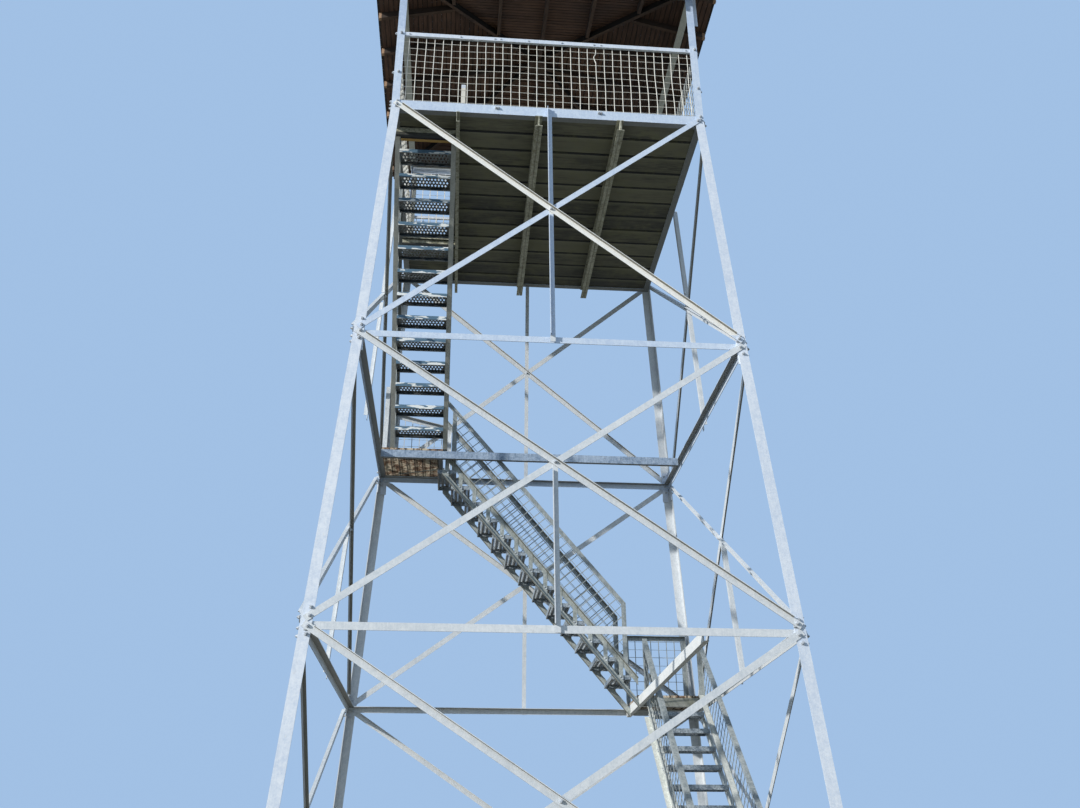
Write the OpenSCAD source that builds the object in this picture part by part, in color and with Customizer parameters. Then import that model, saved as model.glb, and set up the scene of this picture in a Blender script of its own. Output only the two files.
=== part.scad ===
// Steel fire lookout tower: four battered angle legs with braced sides, a stair of three flights
// with two landings inside them, and an open platform with mesh guards under a low hipped roof.
// The origin is at the centre of the base on the ground, +Z is up and the front faces -Y.
// Each side's parts are drawn once, on the front, and turned about the tower's axis.

/* [Heights] */
// Height of the lower ring of struts
level_1_z = 2990; // [2800:10:3200]
// Height of the upper ring of struts
level_2_z = 5980; // [5800:10:6200]
// Height of the platform's edge beams, at mid depth
platform_z = 9130; // [9000:10:9400]
// Height of the roof posts above the edge beams' mid depth
roof_post_h = 2130; // [2000:10:2400]
// Height of the guard rails above the top of the edge beams
guard_h = 1075; // [1000:5:1150]
// Height of the guards on the stair landings
landing_guard_h = 880; // [850:10:950]
// Height of the upper and middle handrails above the nosing line
handrail_h = 810; // [780:10:900]
// Height of the lower handrails above the nosing line
lower_handrail_h = 720; // [700:10:900]

/* [Widths across the legs' outer faces] */
// Width at the ground
base_w = 4780; // [4700:10:5000]
// Width at the upper ring of struts
level_2_w = 4000; // [3950:10:4100]
// Width at the platform
platform_w = 3658; // [3640:2:3700]

/* [Rolled steel sections] */
// Leg angles, width of each flange
leg_a = 102; // [95:1:110]
// Leg angles, thickness
leg_t = 10; // [8:1:12]
// Roof post angles, width of each flange
post_a = 89; // [80:1:95]
// Roof post angles, thickness
post_t = 8; // [6:1:10]
// Strut angles, width of each flange
strut_a = 70; // [64:1:76]
// Strut angles, thickness
strut_t = 6; // [5:1:8]
// Brace angles, width of the flange that lies on the side
brace_a = 64; // [55:1:70]
// Brace angles, width of the other flange
brace_b = 38; // [32:1:50]
// Brace angles, thickness
brace_t = 6; // [5:1:8]
// Hanger angles, width of each flange
hanger_a = 51; // [40:1:60]
// Hanger angles, thickness
hanger_t = 5; // [4:1:6]
// Platform edge beams, depth
beam_h = 130; // [120:1:150]
// Platform edge beams, width of the bottom flange
beam_flange = 76; // [70:1:90]
// Platform edge beams, thickness
beam_t = 8; // [6:1:10]
// Clearance between parts that are bolted face to face
fit = 0.5; // [0.3:0.1:1]

/* [Braces] */
// Distance of a brace's axis from the tower's corner at both ends
brace_inset = 72; // [66:1:80]
// Depth of a brace's top node below its level
brace_drop = 14; // [0:1:30]
// Height of a brace's foot node above its level
brace_rise = 82; // [70:1:100]
// Length of a brace past its nodes
brace_tail = 46; // [40:1:55]

/* [Feet and splices] */
// Base plates, width
foot_w = 260; // [220:10:320]
// Base plates, thickness
foot_t = 16; // [12:1:25]
// Distance of a leg's corner from the edge of its base plate
foot_margin = 60; // [50:1:80]
// Leg splice plates, width
splice_w = 74; // [60:1:80]
// Leg splice plates, length
splice_l = 420; // [300:10:500]
// Leg splice plates, thickness
splice_t = 8; // [6:1:10]

/* [Platform] */
// Joist channels, depth
joist_h = 150; // [130:1:180]
// Joist channels, width of the flanges
joist_flange = 40; // [36:1:50]
// Joist channels, thickness
joist_t = 6; // [5:1:8]
// Gap between the two channels of a joist
joist_gap = 4; // [2:1:10]
// Distance between the joists
joist_pitch = 957; // [900:1:975]
// Gap between the deck planks
plank_gap = 10; // [4:1:20]
// Deck planks, thickness
plank_t = 50; // [44:1:52]
// Deck planks, number
planks = 12; // [12]
// Hatch, distance of its front edge from the tower's axis
hatch_front = 1258; // [1250:1:1280]
// Hatch, distance of its back edge from the tower's axis
hatch_back = 700; // [600:10:800]
// Depth of the channels across the hatch's ends
header_h = 100; // [80:1:120]
// Hatch guard, distance of its front post from the tower's axis
hatch_newel = 1000; // [950:10:1050]

/* [Stair] */
// Number of risers in each flight
risers = 14; // [14]
// Going of each tread in the upper and middle flights
upper_run = 180; // [176:1:184]
// Going of each tread in the lower flight
lower_run = 212; // [205:1:220]
// Depth of each tread
tread_d = 241; // [225:1:245]
// Width of each tread
tread_w = 610; // [580:5:620]
// Height of a tread's folded edges
tread_edge = 50; // [40:1:60]
// Thickness of a tread
tread_t = 4; // [3:0.5:6]
// Stringer chords and handrails, width of the angle
chord_a = 55; // [50:1:60]
// Stringer chords and handrails, thickness of the angle
chord_t = 5; // [4:1:6]
// Depth of a stringer, square to its slope
stringer_d = 222; // [210:1:240]
// Height of a stringer's top edge above the nosing line
stringer_rise = 65; // [50:1:80]
// Distance of a handrail's posts from the ends of its flight
newel_inset = 60; // [40:5:100]
// Distance of the middle handrails' top posts from the upper landing
middle_newel = 110; // [90:5:150]
// Distance of the middle handrails' lower posts from the lower landing
middle_foot = 120; // [100:5:150]
// Reach of the middle handrails past their top posts
rail_lead = 75; // [50:5:85]
// Width of the bars between a stringer's chords
web_bar_w = 50; // [40:1:60]
// Centre of the upper flight, left of the tower's axis
upper_x = 1440; // [1430:1:1445]
// Centre of the middle flight, behind the tower's axis
middle_y = 1500; // [1480:1:1520]
// Centre of the lower flight, right of the tower's axis
lower_x = 1722; // [1715:1:1728]

/* [Landings] */
// Height of a landing's surface above its ring of struts
landing_rise = 62; // [60:1:70]
// Landing beams, depth
landing_beam_h = 100; // [80:1:110]
// Landing beams, width of the flanges
landing_beam_a = 50; // [40:1:55]
// Thickness of the landing gratings
grating_t = 25; // [20:1:30]
// Right edge of the upper landing, left of the tower's axis
landing_2_edge = 1130; // [1120:1:1140]
// Left edge of the lower landing, right of the tower's axis
landing_1_edge = 1290; // [1284:1:1296]
// Front edge of the lower landing, behind the tower's axis
landing_1_front = 1280; // [1260:1:1300]
// Gap between a landing's guards and the struts or legs behind them
guard_gap = 30; // [20:5:50]
// Right end of the upper landing's guard, left of the tower's axis
guard_end = 1040; // [1025:5:1060]
// Fall of that guard's rail toward the handrail
guard_fall = 190; // [150:10:230]

/* [Mesh] */
// Distance between the upright bars
mesh_pitch = 102.7; // [90:0.1:120]
// Width of the upright bars
bar_w = 10; // [8:0.5:12]
// Distance between the cross wires that tie them
mesh_tie = 304.8; // [270:0.1:360]
// Thickness of the mesh, and width of its cross wires
wire = 6; // [5:0.5:8]
// Width of the flange under a guard's rail, with the mesh at its inner edge
rail_b = 35; // [30:1:45]
// Depth to which a guard's mesh is let into that flange
mesh_weld = 1; // [0.5:0.5:2]
// Distance of a guard's first bar from the edge beam on its left
first_bar = 24; // [15:1:60]

/* [Roof] */
// Slope of the roof
roof_pitch = 14; // [12:0.5:16]
// Distance from the tower's axis to the eaves
eaves = 2160; // [2100:10:2250]
// Rafters, depth
rafter_h = 90; // [80:1:100]
// Rafters, width
rafter_w = 45; // [35:1:50]
// Distance between rafters
rafter_pitch = 610; // [560:10:620]
// Offset of the front and back rafters to the right
front_rafter_shift = 30; // [-60:5:60]
// Offset of the left and right rafters to the back
side_rafter_shift = 80; // [-80:5:80]
// Width of the block where the rafters meet
king_w = 220; // [210:5:260]
// Reach of that block below the rafters
king_drop = 40; // [20:5:80]
// Thickness of the roof boards
board_t = 20; // [16:1:24]
// Thickness of the roof covering
covering_t = 6; // [4:1:10]
// Reach of the covering past the boards
covering_lip = 20; // [10:5:30]

/* [Hidden] */
big = 3 * base_w;

// Gap between parts that meet end to end
butt = 3;

galvanised = "lightsteelblue";
weathered = "darkolivegreen";
timber = "saddlebrown";
grating = "slategray";

// A flight is its drop and the going of its treads
function flight_l(f) = risers * f[1];
function flight_rise(f) = f[0] / risers;
function steep(f) = f[0] / flight_l(f);

function lerp(a, b, t) = a + (b - a) * t;
function unit(v) = v / norm(v);

// Half width across the legs' outer faces at height z
function half_w(z) =
    (z < level_2_z ? lerp(base_w, level_2_w, z / level_2_z)
        : z < platform_z ? lerp(level_2_w, platform_w, (z - level_2_z) / (platform_z - level_2_z))
        : platform_w) / 2;

// Outward direction of the front between two heights, and a point on the legs' outer face there
function face_out(z1, z2) = unit([0, z1 - z2, half_w(z1) - half_w(z2)]);
function face_point(x, z) = [x, -half_w(z), z];

// Surfaces that the decks and stairs share
deck_z = platform_z - beam_h / 2 + beam_t + fit + plank_t;
landing_2_z = level_2_z + landing_rise;
landing_1_z = level_1_z + landing_rise;
strut_top = strut_a / 2;
beam_face = platform_w / 2 - leg_t - fit;
beam_inner = beam_face - beam_t;
joist_top = platform_z - beam_h / 2 - fit;
joist_bottom = joist_top - joist_h;
packing_t = deck_z - plank_t - joist_top - 2 * fit;
packing_half = beam_face - beam_flange - fit;
hatch_joist_x = upper_x - tread_w / 2 - chord_a - 2 * fit;
upper_flight = [deck_z - landing_2_z, upper_run];
middle_flight = [landing_2_z - landing_1_z, upper_run];
lower_flight = [landing_1_z, lower_run];
landing_2_front = flight_l(upper_flight) - hatch_front - tread_d;

// Distance from the axis to a landing's guards, clear of the legs at the guards' tops
function guard_line(z) = half_w(z + landing_guard_h) - leg_t - splice_t - guard_gap;

// Repeats its child on the front, right, back and left
module each_side() for (k = [0:3]) rotate(90 * k) children();

// Draws a flat section from p to q, with the section's y toward out and its x to the upper side
// of a member that runs from left to right as seen from outside
module member(p, q, out) {
    d = unit(q - p);
    y = unit(out - (out * d) * d);
    x = cross(y, d);
    multmatrix([[x[0], y[0], d[0], p[0]], [x[1], y[1], d[1], p[1]], [x[2], y[2], d[2], p[2]], [0, 0, 0, 1]])
        linear_extrude(norm(q - p)) children();
}

// Keeps what lies between two heights
module level_cut(z1, z2) {
    intersection() {
        children();
        translate([-big / 2, -big / 2, z1]) cube([big, big, z2 - z1]);
    }
}

// Angle section with its heel at the origin
module angle_section(a, b, t) polygon([[0, 0], [a, 0], [a, t], [t, t], [t, b], [0, b]]);

// Angle or channel section with its web upright on x = 0 and its flanges toward +x
module channel_section(h, flange, t) {
    difference() {
        translate([0, -h / 2]) square([flange, h]);
        translate([t, -h / 2 + t]) square([flange, h - 2 * t]);
    }
}

// Angle that runs along the front between the legs: its web is a wide and upright, and its flange
// is b wide, inward at the upper or lower edge. Each reaches over the range of x given.
module ring_angle(web, flange, y, z, out, a, b, t, upper) {
    edge = upper ? a / 2 - t : -a / 2;
    member([web[0], y, z], [web[1], y, z], out) translate([-a / 2, -t]) square([a, t]);
    member([flange[0], y, z], [flange[1], y, z], out) translate([edge, -b]) square([t, b]);
}

// Four such angles in a ring, each with its left end past the next one's right end
module angle_ring(half, z, out, a, b, t, upper, gap) {
    each_side() ring_angle([-half, half - t - gap], [t + gap - half, half - b - gap],
        -half, z, out, a, b, t, upper);
}

// Feet and legs

module base_plates() {
    color(galvanised) each_side()
        translate([-base_w / 2 - foot_margin, -base_w / 2 - foot_margin, 0]) cube([foot_w, foot_w, foot_t]);
}

// One straight length of the front left leg, its heel on the tower's corner
module leg_length(z1, z2, a, t, low, high) {
    corner_1 = [-half_w(z1), -half_w(z1), z1];
    corner_2 = [-half_w(z2), -half_w(z2), z2];
    reach = a * unit(corner_2 - corner_1);
    level_cut(low, high) member(corner_1 - reach, corner_2 + reach, [-1, -1, 0])
        rotate(225) angle_section(a, a, t);
}

module leg() {
    color(galvanised) {
        leg_length(0, level_2_z, leg_a, leg_t, foot_t, level_2_z - butt / 2);
        leg_length(level_2_z, platform_z, leg_a, leg_t, level_2_z + butt / 2, platform_z - butt / 2);
    }
}

module leg_front_left() leg();
module leg_front_right() rotate(90) leg();
module leg_back_right() rotate(180) leg();
module leg_back_left() rotate(270) leg();

module roof_posts() {
    color(galvanised) each_side() translate([0, 0, platform_z + butt / 2])
        linear_extrude(roof_post_h - butt / 2) translate([-platform_w / 2, -platform_w / 2])
            angle_section(post_a, post_a, post_t);
}

// Plates inside the legs' flanges across the joint at the upper struts, bent with the batter
module splice_plate(side) {
    z1 = level_2_z - splice_l / 2;
    z2 = level_2_z + splice_l / 2;
    outer = [for (z = [z1, level_2_z, z2]) [-half_w(z) + leg_t + fit, z]];
    inner = [for (z = [z2, level_2_z, z1]) [-half_w(z) + leg_t + fit + splice_t, z]];
    x = side * (half_w(z2) - leg_t - splice_t - butt);
    translate([side < 0 ? x : x - splice_w, 0, 0]) rotate([90, 0, 90])
        linear_extrude(splice_w) polygon(concat(outer, inner));
}

module leg_splices() {
    color(galvanised) each_side() for (side = [-1, 1]) splice_plate(side);
}

// Rings of struts and beams

module strut_ring(z, backing) {
    angle_ring(half_w(z) - leg_t - 2 * fit - backing, z, face_out(z - strut_a, z),
        strut_a, strut_a, strut_t, true, butt);
}

module struts_level_1() color(galvanised) strut_ring(level_1_z, 0);
module struts_level_2() color(galvanised) strut_ring(level_2_z, splice_t + 2 * fit);

module platform_edge_beams() {
    color(galvanised)
        angle_ring(beam_face, platform_z, [0, -1, 0], beam_h, beam_flange, beam_t, false, fit);
}

module roof_plates() {
    color(galvanised) angle_ring(plate_edge, platform_z + roof_post_h - post_a / 2, [0, -1, 0],
        post_a, post_a, post_t, true, fit);
}

// Bracing of one side. Three layers lie on the legs' outer faces: the braces that rise to the
// right, the hangers, and the braces that fall to the right.

hanger_out = brace_t + 2 * fit;
cross_clear = brace_a + 2 * brace_t;
front_out = hanger_out + hanger_t + fit;

// Brace whose flange lies at height off above the face and whose other leg stands on its upper
// edge, outward or inward, and stops short of the flange's ends by the copes
module brace(p, q, out, off, outward, cope_p, cope_q) {
    d = unit(q - p);
    tail = brace_tail * d;
    level = off * out;
    member(p - tail + level, q + tail + level, out) translate([-brace_a / 2, 0]) square([brace_a, brace_t]);
    member(p + cope_p * d + level, q - cope_q * d + level, out)
        translate([brace_a / 2 - brace_t, outward ? 0 : brace_t - brace_b]) square([brace_t, brace_b]);
}

module packer(p, out, thickness) {
    member(p, p + thickness * out, [0, 0, 1]) square(brace_a, center = true);
}

module brace_pair(low_z, high_z, cope_top) {
    top = high_z - brace_drop;
    foot = low_z + brace_rise;
    out = face_out(low_z, high_z);
    low_left = face_point(brace_inset - half_w(foot), foot);
    low_right = face_point(half_w(foot) - brace_inset, foot);
    high_left = face_point(brace_inset - half_w(top), top);
    high_right = face_point(half_w(top) - brace_inset, top);
    brace(low_left, high_right, out, fit, false, leg_a, cope_top);
    brace(high_left, low_right, out, front_out, true, leg_a / 2, leg_a / 2);
    for (p = [high_left, low_right])
        packer(p + fit * out, out, front_out - 2 * fit);
}

// Upright hanger on the middle of the side. Its flange runs from low to high, and its other leg
// only over the lengths given, clear of what it crosses.
module hanger(low_z, high_z, low, high, lengths) {
    out = face_out(low_z, high_z);
    p = face_point(0, low) + hanger_out * out;
    q = face_point(0, high) + hanger_out * out;
    d = unit(q - p);
    member(p, q, out) translate([-hanger_a / 2, 0]) square([hanger_a, hanger_t]);
    for (s = lengths) member(p + s[0] * d, p + s[1] * d, out)
        translate([hanger_a / 2 - hanger_t, 0]) square([hanger_t, hanger_a]);
}

function cross_z(low_z, high_z) =
    let (top = high_z - brace_drop, foot = low_z + brace_rise,
         wt = half_w(top) - brace_inset, wb = half_w(foot) - brace_inset)
    foot + (top - foot) * wb / (wb + wt);

module side_bracing() {
    ground_z = foot_t;
    brace_pair(ground_z, level_1_z, leg_a);
    brace_pair(level_1_z, level_2_z, leg_a);
    brace_pair(level_2_z, platform_z, beam_h + brace_a);
    lower_cross = cross_z(level_1_z, level_2_z);
    upper_cross = cross_z(level_2_z, platform_z);
    upper_low = level_2_z - strut_a / 2;
    upper_high = platform_z + beam_h / 3;
    lower_low = level_1_z - strut_a / 2;
    hanger(level_2_z, platform_z, upper_low, upper_high, [
        [strut_a, upper_cross - upper_low - cross_clear],
        [upper_cross - upper_low + cross_clear, upper_high - upper_low]]);
    hanger(level_1_z, level_2_z, lower_low, lower_cross + hanger_a / 2,
        [[strut_a, lower_cross - lower_low - cross_clear]]);
}

module bracing_front() color(galvanised) side_bracing();
module bracing_right() color(galvanised) rotate(90) side_bracing();
module bracing_back() color(galvanised) rotate(180) side_bracing();
module bracing_left() color(galvanised) rotate(270) side_bracing();

// Platform

// Channel along Y with its web on x and its flanges toward side
module joist(x, side) {
    translate([x, 0, joist_bottom + joist_h / 2]) mirror([side < 0 ? 1 : 0, 0, 0])
        rotate([90, 0, 0]) linear_extrude(platform_w, center = true)
            channel_section(joist_h, joist_flange, joist_t);
}

// Flat bar that fills the gap between a joist and the planks, from x1 to x2
module joist_packing(x1, x2) {
    translate([x1, -packing_half, joist_top + fit]) cube([x2 - x1, 2 * packing_half, packing_t]);
}

module platform_joists() {
    color(weathered) {
        joist(-hatch_joist_x, 1);
        joist_packing(-hatch_joist_x, -hatch_joist_x + joist_flange);
        for (k = [1, 2]) {
            x = -hatch_joist_x + k * joist_pitch;
            joist(x + joist_gap / 2, 1);
            joist(x - joist_gap / 2, -1);
            joist_packing(x - joist_gap / 2 - joist_flange, x + joist_gap / 2 + joist_flange);
        }
    }
}

// Channel along X under the planks, its web at y and its flanges toward side, and its packing bar
module header(y, side) {
    x1 = -beam_inner + fit;
    x2 = -hatch_joist_x - fit;
    translate([x1, y, joist_top - header_h / 2]) mirror([0, side < 0 ? 1 : 0, 0]) {
        rotate([90, 0, 90]) linear_extrude(x2 - x1) channel_section(header_h, joist_flange, joist_t);
        translate([-packing_half - x1, 0, header_h / 2 + fit])
            cube([x2 + packing_half, joist_flange, packing_t]);
    }
}

module hatch_frame() {
    color(weathered) {
        header(-hatch_front - tread_d, 1);
        header(hatch_back + joist_flange, -1);
    }
}

module platform_deck() {
    pitch = 2 * (beam_inner - fit) / planks;
    color(weathered) difference() {
        for (k = [0:planks - 1])
            translate([-beam_inner + fit, -beam_inner + fit + k * pitch + plank_gap / 2, deck_z - plank_t])
                cube([2 * (beam_inner - fit), pitch - plank_gap, plank_t]);
        translate([-upper_x - tread_w / 2, -hatch_front, 0]) cube([tread_w, hatch_front + hatch_back, big]);
    }
}

// Mesh and guards

// Welded mesh in the plane, from the origin over a width and height, its first bar centred on first
module mesh_2d(w, h, first) {
    for (k = [0:floor((w - first - bar_w / 2) / mesh_pitch)])
        translate([first + k * mesh_pitch - bar_w / 2, 0]) square([bar_w, h]);
    for (k = [0:floor((h - wire) / mesh_tie)]) translate([0, k * mesh_tie]) square([w, wire]);
}

// First bar of a mesh whose bars are centred over its width
function centred(w) = (w - floor((w - bar_w) / mesh_pitch) * mesh_pitch) / 2;

// Guard of one side: a rail angle between the posts, and the mesh that stands on the deck under it
module side_guard() {
    top = platform_z + beam_h / 2 + guard_h;
    rail_y = post_t + fit - platform_w / 2;
    right = -rail_y - chord_t - fit;
    ring_angle([rail_y, right], [-right, right - rail_b], rail_y, top - chord_a / 2,
        [0, -1, 0], chord_a, rail_b, chord_t, false);
    left = fit - beam_inner;
    mesh_y = rail_y + rail_b;
    bottom = deck_z + fit;
    translate([left, mesh_y, bottom]) rotate([90, 0, 0]) linear_extrude(wire)
        mesh_2d(-mesh_y - fit - left, top - chord_a + mesh_weld - bottom, first_bar);
}

module guard_front() color(galvanised) side_guard();
module guard_right() color(galvanised) rotate(90) side_guard();
module guard_back() color(galvanised) rotate(180) side_guard();
module guard_left() color(galvanised) rotate(270) side_guard();

// Stair. A flight is drawn in its own frame: x along its fall, y to its left, z up, with the
// origin on the upper floor at the middle of its edge.

// Strip of the flight's side view between two heights above the nosing line
module band(x1, x2, low, high, s) {
    polygon([[x1, high - s * x1], [x1, low - s * x1], [x2, low - s * x2], [x2, high - s * x2]]);
}

// Extrudes a side view across the flight from y1 to y2
module across(y1, y2) translate([0, y2, 0]) rotate([90, 0, 0]) linear_extrude(y2 - y1) children();

// Side view's limits: plumb cuts at x1 and x2 and level cuts at z1 and z2
module window(x1, x2, z1, z2) {
    intersection() {
        children();
        translate([x1, z1]) square([x2 - x1, z2 - z1]);
    }
}

module tread() {
    rotate([90, 0, 0]) linear_extrude(tread_w, center = true) difference() {
        translate([-tread_d, -tread_edge]) square([tread_d, tread_edge]);
        translate([tread_t - tread_d, -tread_edge - tread_t]) square([tread_d - 2 * tread_t, tread_edge]);
    }
}

module treads(f) {
    for (k = [1:risers - 1]) translate([k * f[1], 0, -k * flight_rise(f)]) tread();
}

// One stringer: two angle chords with an upright bar at the end of each tread
module stringer(f, x1, x2, z1, z2) {
    s = steep(f);
    lean = sqrt(1 + s * s);
    high = stringer_rise;
    low = high - stringer_d * lean;
    y = tread_w / 2 + fit;
    module chords(width) {
        window(x1, x2, z1, z2) {
            band(-flight_l(f), 2 * flight_l(f), high - width * lean, high, s);
            band(-flight_l(f), 2 * flight_l(f), low, low + width * lean, s);
        }
    }
    across(y, y + chord_t) chords(chord_a);
    across(y, y + chord_a) chords(chord_t);
    across(y + chord_t / 2, y + 2 * chord_t) window(x1, x2, z1, z2)
        for (k = [1:risers - 1]) let (x = k * f[1] - tread_d / 2)
            band(x - web_bar_w / 2, x + web_bar_w / 2, low + chord_t * lean, high - chord_t * lean, s);
}

module stringers(f, x1, x2, z1, z2) for (side = [0, 1]) mirror([0, side, 0]) stringer(f, x1, x2, z1, z2);

// One handrail: end posts from x1 to x2, a rail of angle that starts lead before them, and mesh
// from the rail down to the stringer. One cut along the stringer ends both legs of the posts.
module handrail(f, x1, x2, lead, high) {
    s = steep(f);
    lean = sqrt(1 + s * s);
    low = stringer_rise + fit;
    mesh_low = low + wire * lean;
    mesh_w = (x2 - x1) * lean + 2 * high;
    mesh_h = (high - mesh_low) / lean - chord_a / 2;
    y = tread_w / 2 + fit + chord_a - chord_t;
    // One leg of the rail and posts, t wide
    module leg_of_frame(t) {
        band(x1 - lead, x2, high - t * lean, high, s);
        for (x = [x1, x2 - t]) band(x, x + t, low - chord_a * lean, high - t * lean / 2, s);
    }
    difference() {
        union() {
            across(y - chord_t, y) {
                leg_of_frame(chord_a);
                intersection() {
                    band(x1 + chord_a / 2, x2 - chord_a / 2, low, high, s);
                    translate([x1, mesh_low - s * x1]) rotate(-atan(s)) translate([-high, 0])
                        mesh_2d(mesh_w, mesh_h, centred(mesh_w));
                }
            }
            across(y - chord_a, y) leg_of_frame(chord_t);
        }
        across(y - 2 * chord_a, y + chord_a) band(x1 - chord_a, x2 + chord_a, low - 2 * chord_a * lean, low, s);
    }
}

module handrails(f, x1, x2, lead, high) {
    for (side = [0, 1]) mirror([0, side, 0]) handrail(f, x1, x2, lead, high);
}

module upper_place() translate([-upper_x, -hatch_front, deck_z]) rotate(90) children();
module middle_place() translate([-landing_2_edge, middle_y, landing_2_z]) children();
module lower_place() translate([lower_x, landing_1_front, landing_1_z]) rotate(-90) children();

module upper_treads() color(grating) upper_place() treads(upper_flight);
module middle_treads() color(grating) middle_place() treads(middle_flight);
module lower_treads() color(grating) lower_place() treads(lower_flight);

// The upper stringers are bolted beside the hatch's joist and under the edge beam's flange
module upper_stringers() {
    color(galvanised) upper_place() stringers(upper_flight, joist_flange + fit - tread_d,
        2 * flight_l(upper_flight), fit - upper_flight[0], joist_top - deck_z - fit);
}

module middle_stringers() {
    reach = landing_2_edge + landing_1_edge;
    color(galvanised) middle_place()
        stringers(middle_flight, fit, reach - fit, -2 * middle_flight[0], middle_flight[0]);
}

module lower_stringers() {
    color(galvanised) lower_place()
        stringers(lower_flight, fit, 2 * flight_l(lower_flight), -lower_flight[0], lower_flight[0]);
}

// The upper handrails start where their rails are clear of the platform
module upper_handrails() {
    start = (handrail_h + deck_z - joist_top + fit) / steep(upper_flight);
    color(galvanised) upper_place()
        handrails(upper_flight, start, flight_l(upper_flight) - newel_inset, 0, handrail_h);
}

module middle_handrails() {
    color(galvanised) middle_place() handrails(middle_flight, middle_newel,
        landing_2_edge + landing_1_edge - middle_foot, rail_lead, handrail_h);
}

module lower_handrails() {
    color(galvanised) lower_place()
        handrails(lower_flight, newel_inset, flight_l(lower_flight) - newel_inset, 0, lower_handrail_h);
}

// Landings

// Channel between two points at one height, its web facing out
module landing_beam(p, q, out) {
    member(p, q, out) mirror([0, 1]) rotate(90) channel_section(landing_beam_h, landing_beam_a, chord_t);
}

module landing_2_frame() {
    z = level_2_z + strut_top - landing_beam_h / 2;
    x = half_w(level_2_z) - leg_t - splice_t - strut_a;
    color(galvanised) landing_beam([-x, landing_2_front, z], [x, landing_2_front, z], [0, -1, 0]);
    color(galvanised) landing_beam([-landing_2_edge, landing_2_front + landing_beam_a + fit, z],
        [-landing_2_edge, x, z], [1, 0, 0]);
}

module landing_2_deck() {
    x = half_w(level_2_z) - leg_t - splice_t - strut_t - butt;
    color(grating) translate([-x, landing_2_front, landing_2_z - grating_t])
        cube([x - landing_2_edge, x - landing_2_front, grating_t]);
}

module landing_1_frame() {
    z = level_1_z + strut_top - landing_beam_h / 2;
    y = half_w(level_1_z) - leg_t - strut_a;
    color(galvanised) landing_beam([landing_1_edge, y, z], [landing_1_edge, -y, z], [-1, 0, 0]);
    color(galvanised) landing_beam([landing_1_edge + landing_beam_a + fit, landing_1_front, z],
        [y, landing_1_front, z], [0, -1, 0]);
}

module landing_1_deck() {
    x = half_w(level_1_z) - leg_t - strut_t - butt;
    color(grating) translate([landing_1_edge, landing_1_front, landing_1_z - grating_t])
        cube([x - landing_1_edge, x - landing_1_front, grating_t]);
}

// Upright mesh panel framed by angle posts and a rail, from p along direction turn over a width w.
// It is h1 high at p and h2 high at its other end.
module mesh_guard(p, turn, w, h1, h2) {
    module outline() polygon([[0, 0], [w, 0], [w, h2], [0, h1]]);
    // One leg of the rail and posts, t wide
    module leg_of_frame(t) {
        difference() {
            outline();
            translate([0, -t]) outline();
        }
        square([t, h1 - t / 2]);
        translate([w - t, 0]) square([t, h2 - t / 2]);
    }
    translate(p) rotate(turn) rotate([90, 0, 0]) {
        linear_extrude(chord_t, center = true) {
            leg_of_frame(chord_a);
            intersection() {
                mesh_2d(w, h2, centred(w));
                translate([0, -chord_a / 2]) outline();
            }
        }
        translate([0, 0, chord_t / 2 - chord_a]) linear_extrude(chord_a) leg_of_frame(chord_t);
    }
}

module landing_2_guard() {
    side = guard_line(landing_2_z);
    left = side - chord_a - guard_gap;
    back = side - 2 * (chord_a + guard_gap);
    color(galvanised) mesh_guard([-guard_end, side, landing_2_z + fit], 180, left - guard_end,
        landing_guard_h - guard_fall, landing_guard_h);
    color(galvanised) mesh_guard([-side, back, landing_2_z + fit], 270,
        back - landing_2_front - guard_gap, landing_guard_h, landing_guard_h);
}

module landing_1_guard() {
    side = guard_line(landing_1_z);
    color(galvanised) mesh_guard([side, side, landing_1_z + fit], 180, side - landing_1_edge,
        landing_guard_h, landing_guard_h);
}

module hatch_guard() {
    h = guard_h + platform_z + beam_h / 2 - deck_z;
    x = -hatch_joist_x + 2 * joist_flange;
    color(galvanised) mesh_guard([x, -hatch_newel, deck_z + fit], 90, hatch_newel + hatch_back, h, h);
    color(galvanised) mesh_guard([x - 2 * chord_a, hatch_back + joist_flange, deck_z + fit], 180, tread_w, h, h);
}

// Roof. Heights follow the slope from the outer edge of the roof plates.

slope = tan(roof_pitch);
plate_top = platform_z + roof_post_h + fit;
plate_edge = platform_w / 2 - post_t - fit;
function rafter_z(r) = plate_top + (plate_edge - r) * slope;
lift = rafter_h / cos(roof_pitch);

// Side view of a sloping timber between two distances from the tower's axis
module rafter_view(r1, r2, s, drop) {
    polygon([[-r1, rafter_z(0) - r1 * s - drop], [-r2, rafter_z(0) - r2 * s - drop],
             [-r2, rafter_z(0) - r2 * s + lift - drop], [-r1, rafter_z(0) - r1 * s + lift - drop]]);
}

// Rafters of the front, right, back and left sides. The middle one meets the king block and the
// others meet the hips.
module rafters() {
    shifts = [front_rafter_shift, side_rafter_shift, -front_rafter_shift, -side_rafter_shift];
    jacks = floor(plate_edge / rafter_pitch + 0.5);
    hip_half = rafter_w / sqrt(2) + fit;
    color(timber) for (side = [0:3]) rotate(90 * side)
        for (k = [-jacks:jacks]) let (x = k * rafter_pitch + shifts[side])
            translate([x - rafter_w / 2, 0, 0]) rotate([90, 0, 90]) linear_extrude(rafter_w)
                rafter_view(k == 0 ? king_w / 2 + fit : abs(x) + rafter_w / 2 + hip_half, eaves, slope, 0);
}

// The hips lie lower by the fall of the roof over half their width
module hip_rafters() {
    diagonal = sqrt(2);
    color(timber) each_side() rotate(45) translate([-rafter_w / 2, 0, 0]) rotate([90, 0, 90])
        linear_extrude(rafter_w) rafter_view(king_w / 2 * diagonal + rafter_w / 2,
            (eaves - rafter_w) * diagonal, slope / diagonal, rafter_w / 2 * slope / diagonal);
}

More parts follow.
